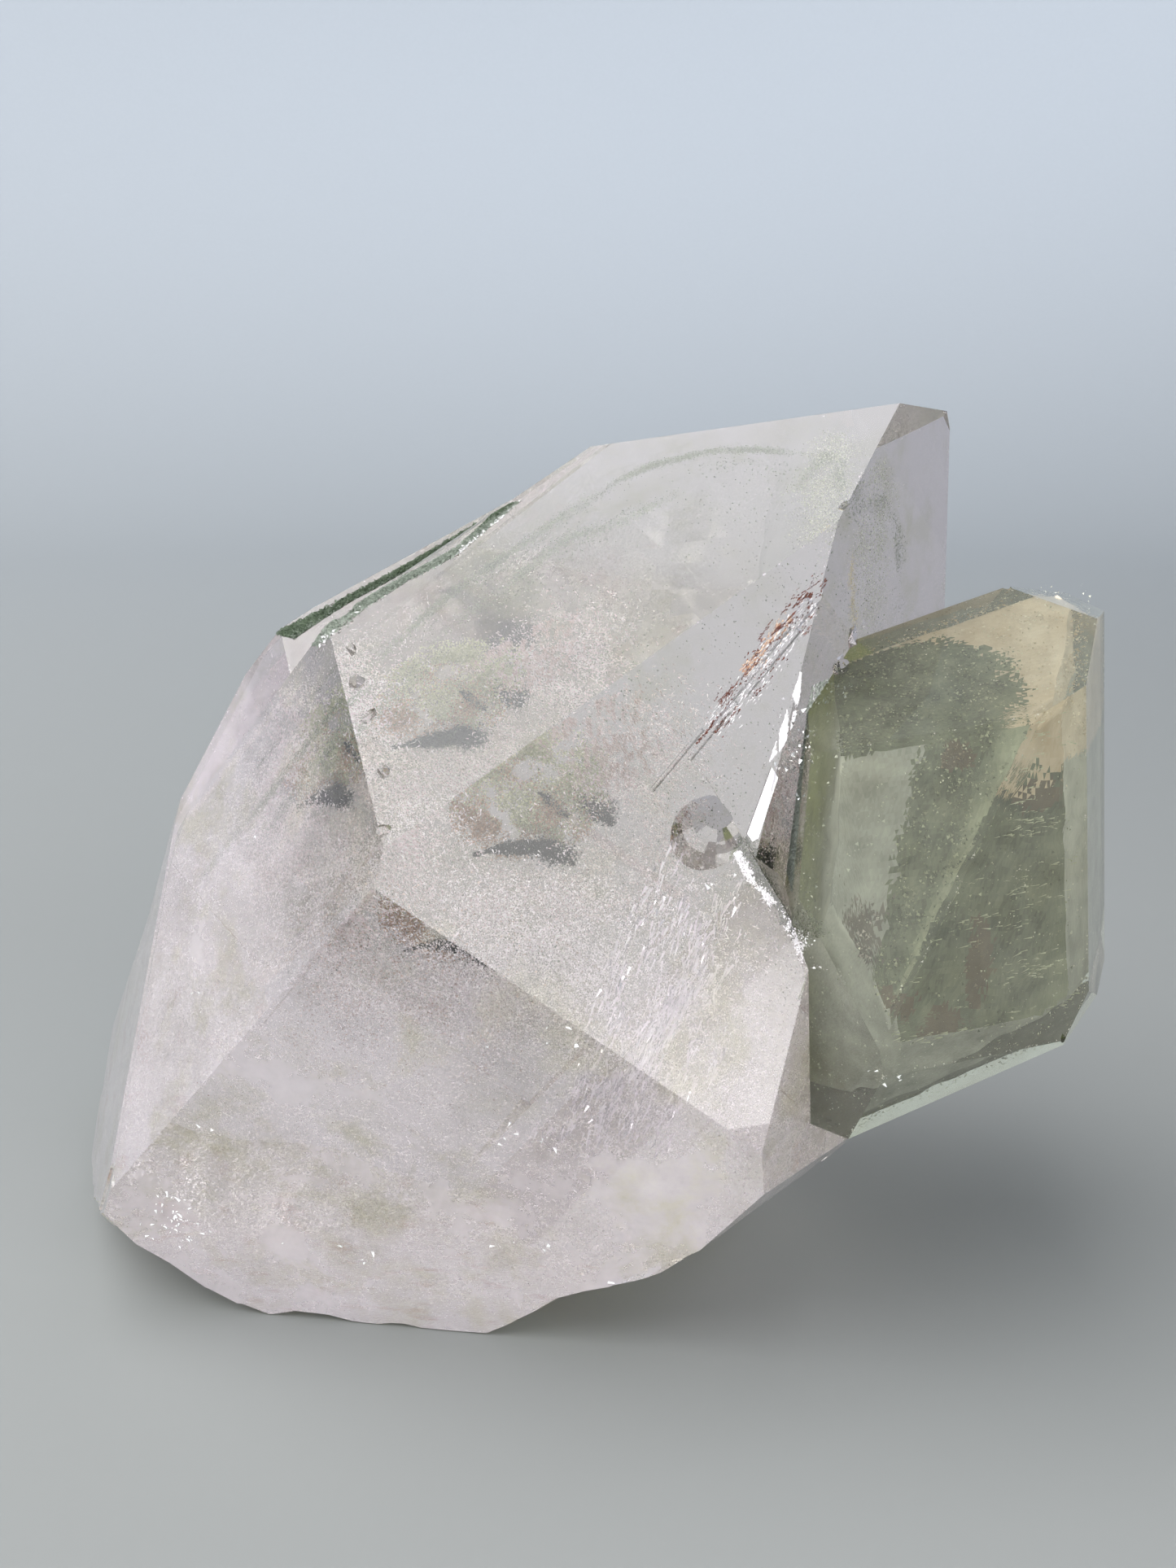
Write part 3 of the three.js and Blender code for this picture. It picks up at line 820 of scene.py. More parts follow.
@dataclass
class Phantoms:
    """Former faces of the large crystal, dusted with chlorite while it paused in its growth."""

    outer: Dict[str, float] = field(default_factory=lambda: {
        "side_top": 6.0, "tip_top": 7.0, "tip_left": 7.5, "tip_front": 8.0, "tip_right": 9.0,
        "tip_far": 13.0, "tip_back": 22.0, "side_left": 7.0, "side_front": 9.0, "side_far": 15.0,
        "side_back": 9.0, "underside": 9.0, "taper": 9.0})
    inner: Dict[str, float] = field(default_factory=lambda: {
        "side_top": 10.5, "tip_top": 12.0, "tip_left": 11.5, "tip_front": 14.0, "tip_right": 16.0,
        "tip_far": 20.0, "tip_back": 28.0, "side_left": 11.0, "side_front": 15.0, "side_far": 20.0,
        "side_back": 14.0, "underside": 15.0, "taper": 14.0})
    shares: Dict[str, float] = field(default_factory=lambda: {
        "side_top": 1.0, "tip_top": 0.7, "tip_left": 0.22, "tip_front": 0.08, "tip_right": 0.25,
        "side_left": 0.2})
    other_share: float = 0.15
    outer_count: int = 170000
    inner_count: int = 120000
    low_end: float = -24.0
    fade: float = 16.0
    edge_width: float = 2.6
    tip_count: int = 260000
    tip_middle: Point = (30.7, -3.2, 101.8)
    tip_reach: Point = (7.0, 6.0, 3.0)
    mist_count: int = 26000
    mist_middle: Point = (36.4, -1.9, 97.0)
    mist_spread: Point = (2.0, 4.5, 7.0)
    mist_depth: float = 5.0

    def build(self, large: Dict[str, Facet], axis: Array, centre: Array, surface: Surface) -> None:
        """Dusts both former shapes, most along their edges.

        A speck's chance is its face's share, times cloudy patches, times 0.16 plus up to 1.1 near an
        edge, and it fades out towards the low end.

        Args:
            large: faces of the large crystal.
            axis: its long axis.
            centre: the point its distances are measured from.
            surface: the body's surface.
        """
        rng = np.random.default_rng(11)
        root = float(axis @ centre)
        for name, insets, count in (("outer_phantom", self.outer, self.outer_count),
                                    ("inner_phantom", self.inner, self.inner_count)):
            faces = {key: large[key].inset(by) for key, by in insets.items()}
            bottom = Facet(tuple(float(-a) for a in axis), -(root + self.low_end))
            place, normal = Body(list(faces.values()) + [bottom]).on_skin(count, rng)
            depths = np.sort([plane.depth(place) for plane in faces.values()], axis=0)
            edge = np.exp(-depths[1] / self.edge_width)
            share = np.full(len(place), self.other_share)
            for key, plane in faces.items():
                share[normal @ np.array(plane.normal) > 0.999] = self.shares.get(key, self.other_share)
            level = place @ axis - root
            keep = share * patches(place, 0.65, 8.0, 2.4, 21, 0.38, 0.72) * (0.16 + 1.1 * edge)
            # The flat bottom is only where the shape is cut off, so nothing lies on it.
            keep = keep * (level > self.low_end + 0.5) * ramp(level, self.low_end, self.low_end + self.fade)
            chosen = rng.random(len(place)) < keep
            place, normal = place[chosen], normal[chosen]
            place = place - normal * rng.exponential(0.3, len(place))[:, None]
            Flakes(0.05, 0.2, tilt=0.5).strew(name, place, normal, CHLORITE, rng, within=surface)

    def tip(self, large: Dict[str, Facet]) -> None:
        """Dusts the phantom's tip, where the chlorite lies thickest, and the mist beside it.

        Args:
            large: faces of the large crystal.
        """
        rng = np.random.default_rng(12)
        ghost = Body([large[key].inset(by) for key, by in self.outer.items()])
        place, normal = ghost.on_skin(self.tip_count, rng)
        keep = nearness(place, self.tip_middle, self.tip_reach) * ramp(cloud(place, 2.0, 31), 0.25, 0.75)
        chosen = rng.random(len(place)) < 0.9 * keep
        Flakes(0.06, 0.22, tilt=0.6).strew("phantom_tip_dust", place[chosen], normal[chosen], CHLORITE, rng)
        # The haze that shows grey-green through the right tip face.
        place = swarm(self.mist_middle, self.mist_spread, self.mist_count, rng)
        place = place[Body([plane.inset(self.mist_depth) for plane in large.values()]).holds(place)]
        place = thinned(place, ramp(cloud(place, 3.0, 32), 0.3, 0.6), rng)
        Flakes(0.05, 0.16).strew("phantom_tip_mist", place, np.zeros(3), CHLORITE_MIST, rng)


@dataclass(frozen=True)
class GhostLine:
    """Specks along one edge of a former face: the line, its width and how far it fades inwards."""

    path: Line
    count: int
    width: float = 0.3
    fade: float = 3.0


@dataclass
class GhostLines:
    """The dark lines that outline the phantom: each is a former edge, with a soft shade on its inner side."""

    inwards: Point = (0.1, 0.9, -0.4)
    faces: Point = (-0.2, -0.7, 0.6)
    shaded: float = 0.8
    end_fade: float = 6.0
    lines: Tuple[GhostLine, ...] = (
        GhostLine(((33.2, -2.2, 103.7), (27.1, 0.9, 104.3), (20.8, 2.7, 103.9), (13.7, 3.0, 102.1),
                   (7.6, 1.9, 99.5)), 15000),
        GhostLine(((7.6, 1.9, 99.5), (-4.6, -4.0, 91.6), (-10.1, -6.2, 88.4), (-22.2, -14.9, 78.4)),
                  15000, 0.4, 4.0),
        GhostLine(((18.0, 0.6, 98.6), (10.0, -0.3, 94.0), (4.0, -0.1, 92.5), (-5.9, -5.3, 85.8),
                   (-14.0, -9.5, 79.5)), 14000, 0.45, 4.5),
        GhostLine(((-18.8, -15.5, 79.0), (-30.5, -10.3, 64.0), (-41.7, -4.6, 50.2)), 12000, 0.35, 3.0),
        GhostLine(((-14.0, -14.5, 79.0), (-23.0, -12.5, 67.0), (-31.0, -8.0, 56.0)), 7000, 0.5, 4.0),
        GhostLine(((30.3, -7.0, 99.9), (33.0, -2.6, 101.6), (36.2, 2.5, 101.7), (38.7, 7.0, 98.4),
                   (39.8, 9.5, 91.8), (39.7, 10.0, 85.3)), 10000, 0.5, 3.0),
    )

    def build(self, surface: Surface) -> None:
        """Strews specks along every line.

        A speck's place is a random one along the line, plus a bell-shaped offset across it and, for
        most, a falling one inwards. Cloudy patches break the line up, and it thins out at its ends.

        Args:
            surface: the body's surface.
        """
        rng = np.random.default_rng(13)
        inwards = unit(np.array(self.inwards))
        places = []
        for line in self.lines:
            steps = np.linalg.norm(np.diff(np.array(line.path), axis=0), axis=1)
            lengths = np.concatenate([[0.0], np.cumsum(steps)])
            along = rng.random(line.count) * lengths[-1]
            place = on_line(line.path, along, lengths)
            place += line.width * rng.normal(size=place.shape)
            inner = rng.exponential(line.fade, (line.count, 1))
            place += inwards * inner * (rng.random((line.count, 1)) < self.shaded)
            ends = ramp(np.minimum(along, lengths[-1] - along), 0.0, self.end_fade)
            places.append(thinned(place, ends * patches(place, 0.55, 4.5, 0.9, 14, 0.36, 0.68), rng))
        Flakes(0.04, 0.15, tilt=0.8).strew("ghost_lines", np.vstack(places), np.array(self.faces),
                                           FINE_CHLORITE, rng, within=surface)


@dataclass(frozen=True)
class Lump:
    """One curved dark lump: its start, the point it bends towards, its end, thickness and grains."""

    start: Point
    bend: Point
    end: Point
    thickness: float
    count: int


@dataclass
class PhantomRoot:
    """The ragged foot of the phantom: a yellow-green and brown skin with dark lumps on its rim."""

    centre: Point = (-8.0, 21.5, 57.0)
    reach: Tuple[float, float] = (11.0, 10.0)
    count: int = 150000
    faces: Point = (0.2, -1.0, 0.2)
    brown_level: float = 0.42
    lumps: Tuple[Lump, ...] = (
        Lump((-15.5, 17.5, 49.4), (-9.6, 17.0, 51.3), (-6.6, 20.0, 49.0), 0.34, 15000),
        Lump((-8.6, 18.3, 49.9), (-6.2, 20.5, 50.4), (-3.4, 25.2, 45.6), 0.6, 15000),
        Lump((-3.4, 26.2, 55.6), (-0.8, 26.4, 54.6), (2.2, 26.8, 50.6), 0.6, 16000),
        Lump((-6.9, 20.0, 57.2), (-5.5, 20.0, 56.0), (-3.2, 20.0, 53.8), 0.28, 500),
    )
    lump_spread: Point = (1.2, 1.5, 0.6)
    mounds: Tuple[Tuple[Point, Point, int], ...] = (
        ((6.5, 19.0, 62.0), (4.5, 2.5, 4.5), 24000), ((-8.0, 19.0, 43.0), (10.0, 3.0, 3.0), 26000),
        ((-23.0, 7.0, 58.0), (3.5, 5.0, 7.0), 42000), ((6.0, 24.0, 46.0), (5.0, 3.0, 4.0), 14000),
    )
    mound_run: Point = (0.62, 0.45, -0.64)
    mound_faces: Point = (0.1, -1.0, 0.2)
    crack_start: Point = (0.0, 12.4, 70.5)
    crack_end: Point = (6.5, 19.5, 59.0)
    crack_spread: Point = (3.4, 0.4, 1.9)
    crack_faces: Point = (0.1, -1.0, 0.3)
    crack_count: int = 16000

    def sheet(self, across: Array, up: Array) -> Array:
        """Places on the skin: level by across, upright by up, tilted and rippled in depth.

        The depth is the centre's, plus 0.25 of the distance across, minus 0.12 of the one up, plus
        a sine wave 0.8 mm high, 16 mm long across, and one 0.7 mm high, 11 mm long upwards.

        Args:
            across: distances to the right of the centre, in millimetres.
            up: distances above it.

        Returns:
            The places, one row each.
        """
        middle = np.array(self.centre)
        deep = middle[1] + 0.25 * across - 0.12 * up + 0.8 * np.sin(across / 2.6 + 0.5 * up)
        deep = deep + 0.7 * np.sin(up / 1.7 + across / 5)
        return np.stack([middle[0] + across, deep, middle[2] + up], axis=1)

    def build(self) -> None:
        """Builds the skin, its brown stains and its dark rim.

        The skin ends where its distance from the centre, squared and divided by the reach squared,
        passes 1, moved by a cloud. It is brown low down, with a blurred, cloudy border.
        """
        rng = np.random.default_rng(17)
        across = rng.uniform(-1, 1, self.count) * self.reach[0]
        up = rng.uniform(-1, 1, self.count) * self.reach[1]
        place = self.sheet(across, up)
        ragged = (across / self.reach[0]) ** 2 + (up / self.reach[1]) ** 2
        ragged = ragged + 0.9 * (cloud(place, 4.0, 41) - 0.5)
        thick = patches(place, 0.6, 3.0, 1.2, 42, 0.3, 0.7)
        place = place + 0.6 * rng.normal(size=(len(place), 1)) * np.array([0.0, 1.0, -0.2])
        chosen = rng.random(len(place)) < 0.6 * thick * (1 - ramp(ragged, 0.55, 1.15))
        place, up = place[chosen], up[chosen]
        blur = 0.5 * (rng.random(len(place)) - 0.5)
        brown = cloud(place, 5.0, 44) + 0.035 * up + blur < self.brown_level
        flakes, outward = Flakes(0.06, 0.24, tilt=0.6), np.array(self.faces)
        flakes.strew("phantom_root_green", place[~brown], outward, YELLOW_GREEN, rng)
        flakes.strew("phantom_root_brown", place[brown], outward, IRON_STAINED, rng)
        self.rim(rng)

    def rim(self, rng: np.random.Generator) -> None:
        """Builds the dark lumps on the rim.

        A lump follows a bow: (1 - t) squared times its start, plus 2t(1 - t) times its bend, plus t
        squared times its end. It is thickest past its middle, and a cloud makes it knobbly.

        Args:
            rng: source of random numbers.
        """
        lumps = []
        for lump in self.lumps:
            t = rng.random(lump.count)[:, None]
            start, bend, end = np.array(lump.start), np.array(lump.bend), np.array(lump.end)
            path = (1 - t) ** 2 * start + 2 * t * (1 - t) * bend + t ** 2 * end
            fat = lump.thickness * (0.3 + 1.1 * np.sin(np.pi * t ** 1.4))
            fat = fat * (0.3 + 1.4 * cloud(path, 1.1, 45)[:, None])
            grains = path + fat * rng.normal(size=(lump.count, 3)) * np.array(self.lump_spread)
            lumps.append(thinned(grains, ramp(cloud(grains, 0.7, 47), 0.2, 0.5), rng))
        Flakes(0.07, 0.26).strew("phantom_root_rim", np.vstack(lumps), np.zeros(3), CHLORITE_LUMPS, rng)

    def feathers(self) -> None:
        """Builds the brown and pink feathery crack above the root."""
        rng = np.random.default_rng(18)
        start, end = np.array(self.crack_start), np.array(self.crack_end)
        t, side = rng.random(self.crack_count)[:, None], rng.normal(size=self.crack_count)[:, None]
        place = start + t * (end - start) + side * np.array(self.crack_spread)
        place = thinned(place, ramp(cloud(place * np.array([1.6, 0.4, 0.7]), 1.0, 46), 0.45, 0.7), rng)
        Flakes(0.1, 0.5, slim=0.14, tilt=0.4).strew("feathery_crack", place, np.array(self.crack_faces),
                                                    PINK_FEATHERS, rng, unit(end - start))

    def mound(self) -> None:
        """Builds the pinkish white streaks round the root, where the milk reaches up to it."""
        rng = np.random.default_rng(19)
        run = unit(np.array(self.mound_run))
        places = []
        for middle, spread, count in self.mounds:
            place = swarm(middle, spread, count, rng)
            # Squeezed along their run, so that the cloud draws streaks four times as long as wide.
            combed = place - 0.75 * (place @ run)[:, None] * run
            places.append(thinned(place, ramp(cloud(combed, 1.5, 48), 0.38, 0.75), rng))
        Flakes(0.05, 0.4, 0.3, 0.5, stray=0.5).strew("pink_mound", np.vstack(places),
                                                     np.array(self.mound_faces), PINK_MILK, rng, run)


@dataclass
class Milk:
    """Milky quartz in the lower body: bubbles too small to see one by one, in clouds and on healed cracks."""

    count: int = 560000
    skin_depth: float = 8.0
    top: float = 6.0
    clear_middle: Point = (-6.0, 4.0, 62.0)
    clear_reach: Point = (16.0, 20.0, 13.0)
    veils: int = 44
    veil_count: int = 12000
    veil_reach: Tuple[float, float] = (12.0, 8.0)
    veil_faces: Point = (0.3, -0.8, 0.5)
    veil_clear_middle: Point = (-6.0, 6.0, 62.0)
    veil_clear_reach: Point = (16.0, 18.0, 13.0)
    bank_count: int = 240000
    bank_middle: Point = (2.0, -16.0, 50.0)
    bank_spread: Point = (14.0, 5.0, 5.5)
    bank_top: float = 56.5
    bank_climb: float = 0.35
    fan_count: int = 60000
    fan_middle: Point = (13.0, -31.5, 40.0)
    fan_spread: Point = (8.0, 2.0, 12.0)
    speck_count: int = 26000
    speck_middle: Point = (-20.0, -33.5, 48.0)
    speck_spread: Point = (9.0, 4.0, 8.0)

    def density(self, place: Array, axis: Array, root: float) -> Array:
        """How thick the milk is.

        The distance along the axis, moved by two clouds by up to 8 and 3 mm, gives 1 from 14 mm
        below the top down, and 0 from 8 mm above it up.

        Args:
            place: places in millimetres.
            axis: the large crystal's long axis.
            root: how far along the axis its centre lies.

        Returns:
            One value from 0 to 1 for each place.
        """
        level = place @ axis - root + 16 * (cloud(place, 11.0, 51) - 0.5) + 6 * (cloud(place, 4.0, 52) - 0.5)
        return 1 - ramp(level, self.top - 14, self.top + 8)

    def build(self, large: Dict[str, Facet], axis: Array, centre: Array, surface: Surface) -> None:
        """Builds the clouds and the veils.

        The clouds thin out with depth under the faces and round the window in front of the root. A
        veil is a sheet: its middle plus u and v along two directions, bent by 0.02 times u times v
        along its normal.

        Args:
            large: faces of the large crystal.
            axis: its long axis.
            centre: the point its distances are measured from.
            surface: the body's surface.
        """
        rng = np.random.default_rng(23)
        root = float(axis @ centre)
        inner = Body([plane.inset(1.0) for plane in large.values()])
        place = inner.within(self.count, rng)
        depth = np.min([plane.depth(place) for plane in large.values()], axis=0)
        keep = self.density(place, axis, root) * (0.25 + 0.75 * patches(place, 0.6, 9.0, 3.0, 53, 0.3, 0.75))
        keep = keep * np.exp(-depth / self.skin_depth)
        keep = keep * (1 - nearness(place, self.clear_middle, self.clear_reach))
        Flakes(0.04, 0.15).strew("milky_cloud", thinned(place, keep, rng), np.zeros(3), MILK, rng,
                                 within=surface)
        sheets, faces, runs = [], [], []
        for _ in range(self.veils):
            middle = inner.within(40, rng)[0]
            normal = unit(np.array(self.veil_faces) + 0.55 * rng.normal(size=3))
            first = unit(np.cross(normal, rng.normal(size=3)))
            second = np.cross(normal, first)
            u, v = (rng.normal(size=self.veil_count)[:, None] * reach for reach in self.veil_reach)
            sheet = middle + u * first + v * second + 0.02 * u * v * normal
            combed = middle + 0.3 * u * first + v * second
            keep = 0.5 * (1 - nearness(sheet, self.veil_clear_middle, self.veil_clear_reach))
            keep = keep * patches(combed, 0.5, 2.6, 0.8, 55, 0.46, 0.7) * self.density(sheet, axis, root)
            chosen = (rng.random(self.veil_count) < keep) & inner.holds(sheet)
            sheets.append(sheet[chosen])
            faces.append(np.repeat(normal[None], chosen.sum(), axis=0))
            runs.append(np.repeat(first[None], chosen.sum(), axis=0))
        Flakes(0.06, 0.55, 0.2, 0.3, stray=0.5).strew("healed_veils", np.vstack(sheets), np.vstack(faces),
                                                      MILK, rng, np.vstack(runs), surface)

    def bank(self, surface: Surface) -> None:
        """Builds the bank behind the lower tip faces, and the milk behind the front face's right.

        The bank's top edge climbs to the right and is moved by two clouds.

        Args:
            surface: the body's surface.
        """
        rng = np.random.default_rng(27)
        place = swarm(self.bank_middle, self.bank_spread, self.bank_count, rng)
        top = self.bank_top + 5.0 * (cloud(place, 9.0, 58) - 0.5) + 6.0 * (cloud(place, 3.0, 59) - 0.5)
        top = top + self.bank_climb * np.maximum(place[:, 0], 0.0)
        keep = 0.7 * patches(place, 0.6, 4.0, 1.2, 60, 0.3, 0.7) * ramp(place[:, 2] - top, 3.0, -4.0)
        bank = thinned(place, keep, rng)
        fan = swarm(self.fan_middle, self.fan_spread, self.fan_count, rng)
        combed = fan @ np.array([[1.0, 0.0, 0.2], [0.0, 1.0, 0.0], [0.4, 0.0, 0.4]])
        fan = thinned(fan, 0.7 * ramp(cloud(combed, 2.5, 62), 0.3, 0.7), rng)
        Flakes(0.04, 0.18).strew("milky_bank", np.vstack([bank, fan]), np.zeros(3), MILK, rng,
                                 within=surface)

    def speckles(self, large: Dict[str, Facet], surface: Surface) -> None:
        """Builds the beige specks near the left front edge.

        Args:
            large: faces of the large crystal.
            surface: the body's surface.
        """
        rng = np.random.default_rng(24)
        inner = Body([plane.inset(0.8) for plane in large.values()])
        place = swarm(self.speck_middle, self.speck_spread, self.speck_count, rng)
        keep = inner.holds(place) & (rng.random(len(place)) < ramp(cloud(place, 2.2, 57), 0.42, 0.85))
        Flakes(0.05, 0.24).strew("beige_specks", place[keep], np.zeros(3), BEIGE, rng, within=surface)


@dataclass
class HealedFeathers:
    """A healed crack close behind the front face, its bright flecks combed down to the left."""

    middle: Point = (12.5, -32.0, 45.5)
    reach: Tuple[float, float] = (8.5, 19.0)
    run: Point = (-0.42, 0.05, -0.90)
    faces: Point = (0.3, -1.0, 0.2)
    depth: float = 0.6

    def build(self, large: Dict[str, Facet], surface: Surface) -> None:
        """Builds the bright flecks, and between them grey ones that are painted shade.

        The crack is a sheet: its middle plus u across and v along its run, bent backwards by 1.5 mm
        times u times v. The flecks thin out from its middle, and a cloud combs them into lanes.

        Args:
            large: faces of the large crystal.
            surface: the body's surface.
        """
        rng = np.random.default_rng(31)
        run, deeper = unit(np.array(self.run)), np.array([0.0, 1.0, 0.0])
        across = unit(np.cross(run, deeper))
        inner = Body([plane.inset(self.depth) for plane in large.values()])
        for name, finish, count, size in (
            ("healed_feathers_bright", SILVER, 1200, Flakes(0.15, 0.9, 0.2, 0.3)),
            ("healed_feathers_white", MILK, 9000, Flakes(0.2, 1.5, 0.12, 0.3)),
            ("healed_feathers_painted_shade", SHADED_FEATHERS, 2400, Flakes(0.15, 1.1, 0.14, 0.3)),
        ):
            u, v = rng.uniform(-1, 1, count)[:, None], rng.uniform(-1, 1, count)[:, None]
            place = np.array(self.middle) + u * self.reach[0] * across + v * self.reach[1] * run
            place = place + deeper * (0.7 * rng.normal(size=(count, 1)) + 1.5 * u * v)
            lanes = place @ np.stack([across, run * 0.35, deeper]).T
            keep = ramp(cloud(lanes, 1.6, 61), 0.42, 0.66) * np.exp(-1.2 * (u[:, 0] ** 2 + v[:, 0] ** 2))
            keep = (rng.random(count) < keep) & inner.holds(place)
            size.strew(name, place[keep], np.array(self.faces), finish, rng, run, surface)


# Marks on and just under the surface

@dataclass(frozen=True)
class RustRow:
    """One row of iron crumbs along a narrow ledge: its two ends, width, number of crumbs and gaps."""

    start: Point
    end: Point
    width: float
    count: int
    gaps: float


@dataclass
class RustStreaks:
    """Iron rust caught on the narrow ledges beside the front edge, with bright scratches between."""

    dark_rows: Tuple[RustRow, ...] = (
        RustRow((31.8, -21.2, 94.3), (28.5, -23.4, 91.4), 0.5, 700, 0.6),
        RustRow((29.8, -22.6, 92.6), (24.6, -25.6, 87.6), 0.55, 2600, 0.56),
        RustRow((30.9, -22.3, 91.3), (29.1, -23.9, 88.3), 0.3, 260, 0.58),
        RustRow((27.0, -25.2, 86.1), (22.6, -27.7, 81.6), 0.35, 700, 0.58),
        RustRow((25.0, -25.3, 88.1), (19.6, -28.6, 81.2), 0.45, 1300, 0.6),
        RustRow((21.7, -28.1, 80.9), (19.2, -29.6, 78.2), 0.25, 500, 0.5),
        RustRow((19.7, -28.4, 80.4), (16.1, -31.1, 76.5), 0.08, 300, 0.36),
    )
    smears: Tuple[RustRow, ...] = (
        RustRow((27.6, -23.9, 90.4), (22.3, -27.1, 84.3), 0.5, 900, 0.58),
    )
    scratches: Tuple[RustRow, ...] = (
        RustRow((30.6, -22.6, 91.8), (20.2, -29.2, 79.6), 0.7, 900, 0.5),
        RustRow((26.5, -24.6, 88.6), (18.5, -29.6, 78.9), 0.6, 700, 0.5),
    )

    def strew(self, name: str, rows: Sequence[RustRow], size: Flakes, finish: FlakeFinish, outward: Array,
              rng: np.random.Generator, surface: Surface) -> None:
        """Builds one piece from some rows, landed on the surface.

        A crumb lies at a random place along its row, with a bell-shaped offset across it, and is
        kept where a cloud drawn out along the row is over the row's gaps.

        Args:
            name: the piece's name.
            rows: its rows.
            size: its flakes.
            finish: its finish.
            outward: the way the surface faces there.
            rng: source of random numbers.
            surface: the body's surface.
        """
        places = []
        for number, row in enumerate(rows):
            start, end = np.array(row.start), np.array(row.end)
            across = unit(np.cross(outward, end - start))
            t, off = rng.random(row.count), rng.normal(size=row.count)
            length = np.linalg.norm(end - start)
            # Clumps about 1 mm long and 0.2 mm wide, other ones in each row.
            lanes = np.stack([0.8 * t * length, 4.5 * row.width * off + 9.0 * number,
                              np.zeros(row.count)], axis=1)
            kept = cloud(lanes, 0.8, 71) > row.gaps
            places.append(start + t[kept, None] * (end - start) + across * (row.width * off[kept, None]))
        run = unit(np.array(rows[0].end) - np.array(rows[0].start))
        size.strew(name, surface.land(np.vstack(places), outward), outward, finish, rng, run)

    def build(self, large: Dict[str, Facet], surface: Surface) -> None:
        """Builds the dark crumbs, the brown smears and the bright scratches.

        Args:
            large: faces of the large crystal.
            surface: the body's surface.
        """
        rng = np.random.default_rng(37)
        outward = np.array(large["tip_front"].normal)
        for name, rows, size, finish in (
            ("rust_crumbs", self.dark_rows, Flakes(0.06, 0.26, 0.3, 0.3), RUST),
            ("rust_smears", self.smears, Flakes(0.08, 0.3, 0.35, 0.3), RUST_SMEAR),
            ("ledge_scratches", self.scratches, Flakes(0.08, 0.45, 0.14, 0.2), MILK),
        ):
            self.strew(name, rows, size, finish, outward, rng, surface)


@dataclass
class SmallMarks:
    """Small marks of the large crystal: sparkles and bruised edges, both white chips that are partly painted
    highlight, and the yellow streak.
    """

    sparkle_lift: float = 0.02
    sparkle_groups: Tuple[Tuple[Point, Point, int], ...] = (
        ((-46, -26, 16.5), (1.4, 1.5, 2.2), 50), ((-47, -26, 13), (4.0, 1.5, 1.0), 26),
        ((-40, -29, 31), (0.8, 0.5, 0.8), 5), ((-25, -30, 12), (2, 1, 1), 6),
        ((-4, -36, 16), (5.0, 0.6, 1.0), 22), ((-2, -38, 33), (2.5, 0.6, 1.2), 14),
        ((12, -36, 12), (4, 1, 1), 8), ((38, -38, 42), (1.2, 0.6, 0.8), 12),
        ((45, -33, 33), (1.5, 0.6, 0.6), 10), ((-42, -22, 44), (1, 1, 1), 5),
        ((-32, -20, 66), (1.5, 1, 1.5), 8), ((3, -40, 44), (4, 1, 5), 10),
        ((20, -34, 60), (3, 1, 3), 14),
    )
    chip_count: int = 16000
    chip_depths: Tuple[float, float] = (0.12, 0.5)
    streak_start: Point = (33.6, -10.6, 95.5)
    streak_run: Point = (1.6, 3.0, -8.2)
    streak_flakes_run: Point = (0.2, 0.3, -0.9)
    streak_count: int = 3000

    def sparkles(self, surface: Surface) -> None:
        """Builds clusters of bright white chips on the surface, partly real chips and partly painted glints.

        Args:
            surface: the body's surface.
        """
        rng = np.random.default_rng(41)
        front = unit(np.array([0.0, -1.0, 0.1]))
        places = [swarm(middle, spread, count, rng) for middle, spread, count in self.sparkle_groups]
        place = surface.land(np.vstack(places), front, self.sparkle_lift)
        Flakes(0.05, 0.65, 0.4, 0.35).strew("sparkles", place, front, CHIPS_AND_GLINTS, rng)

    def bruises_and_edge_highlights(self, surface: Surface) -> None:
        """Builds small white chips just inside the long sharp edges: partly real bruising, partly a painted
        highlight along the edges.

        Args:
            surface: the body's surface.
        """
        rng = np.random.default_rng(43)
        start, end, outward = (surface.edges[:, k] / (MM if k < 2 else 1.0) for k in range(3))
        lengths = np.linalg.norm(end - start, axis=1)
        pick = rng.choice(len(start), self.chip_count, p=lengths / lengths.sum())
        t = rng.random(self.chip_count)[:, None]
        place = start[pick] + t * (end - start)[pick]
        chosen = rng.random(self.chip_count) < patches(place, 0.5, 3.0, 0.9, 81, 0.5, 0.75)
        place, way, run = place[chosen], outward[pick][chosen], unit((end - start)[pick][chosen])
        place = place - way * rng.uniform(*self.chip_depths, len(place))[:, None]
        Flakes(0.04, 0.2, 0.6, 0.6).strew("bruised_edges_and_painted_highlights", place, way, MILK, rng, run)

    def streak(self) -> None:
        """Builds the yellow iron streak seen through the right tip face."""
        rng = np.random.default_rng(53)
        t = rng.random(self.streak_count)[:, None]
        place = np.array(self.streak_start) + t * np.array(self.streak_run)
        place = place + 0.5 * rng.normal(size=(self.streak_count, 3))
        place = thinned(place, ramp(cloud(place * np.array([1.4, 1.4, 0.4]), 1.2, 85), 0.35, 0.75), rng)
        Flakes(0.05, 0.2, 0.4).strew("yellow_streak", place, np.zeros(3), YELLOW, rng,
                                     np.array(self.streak_flakes_run))


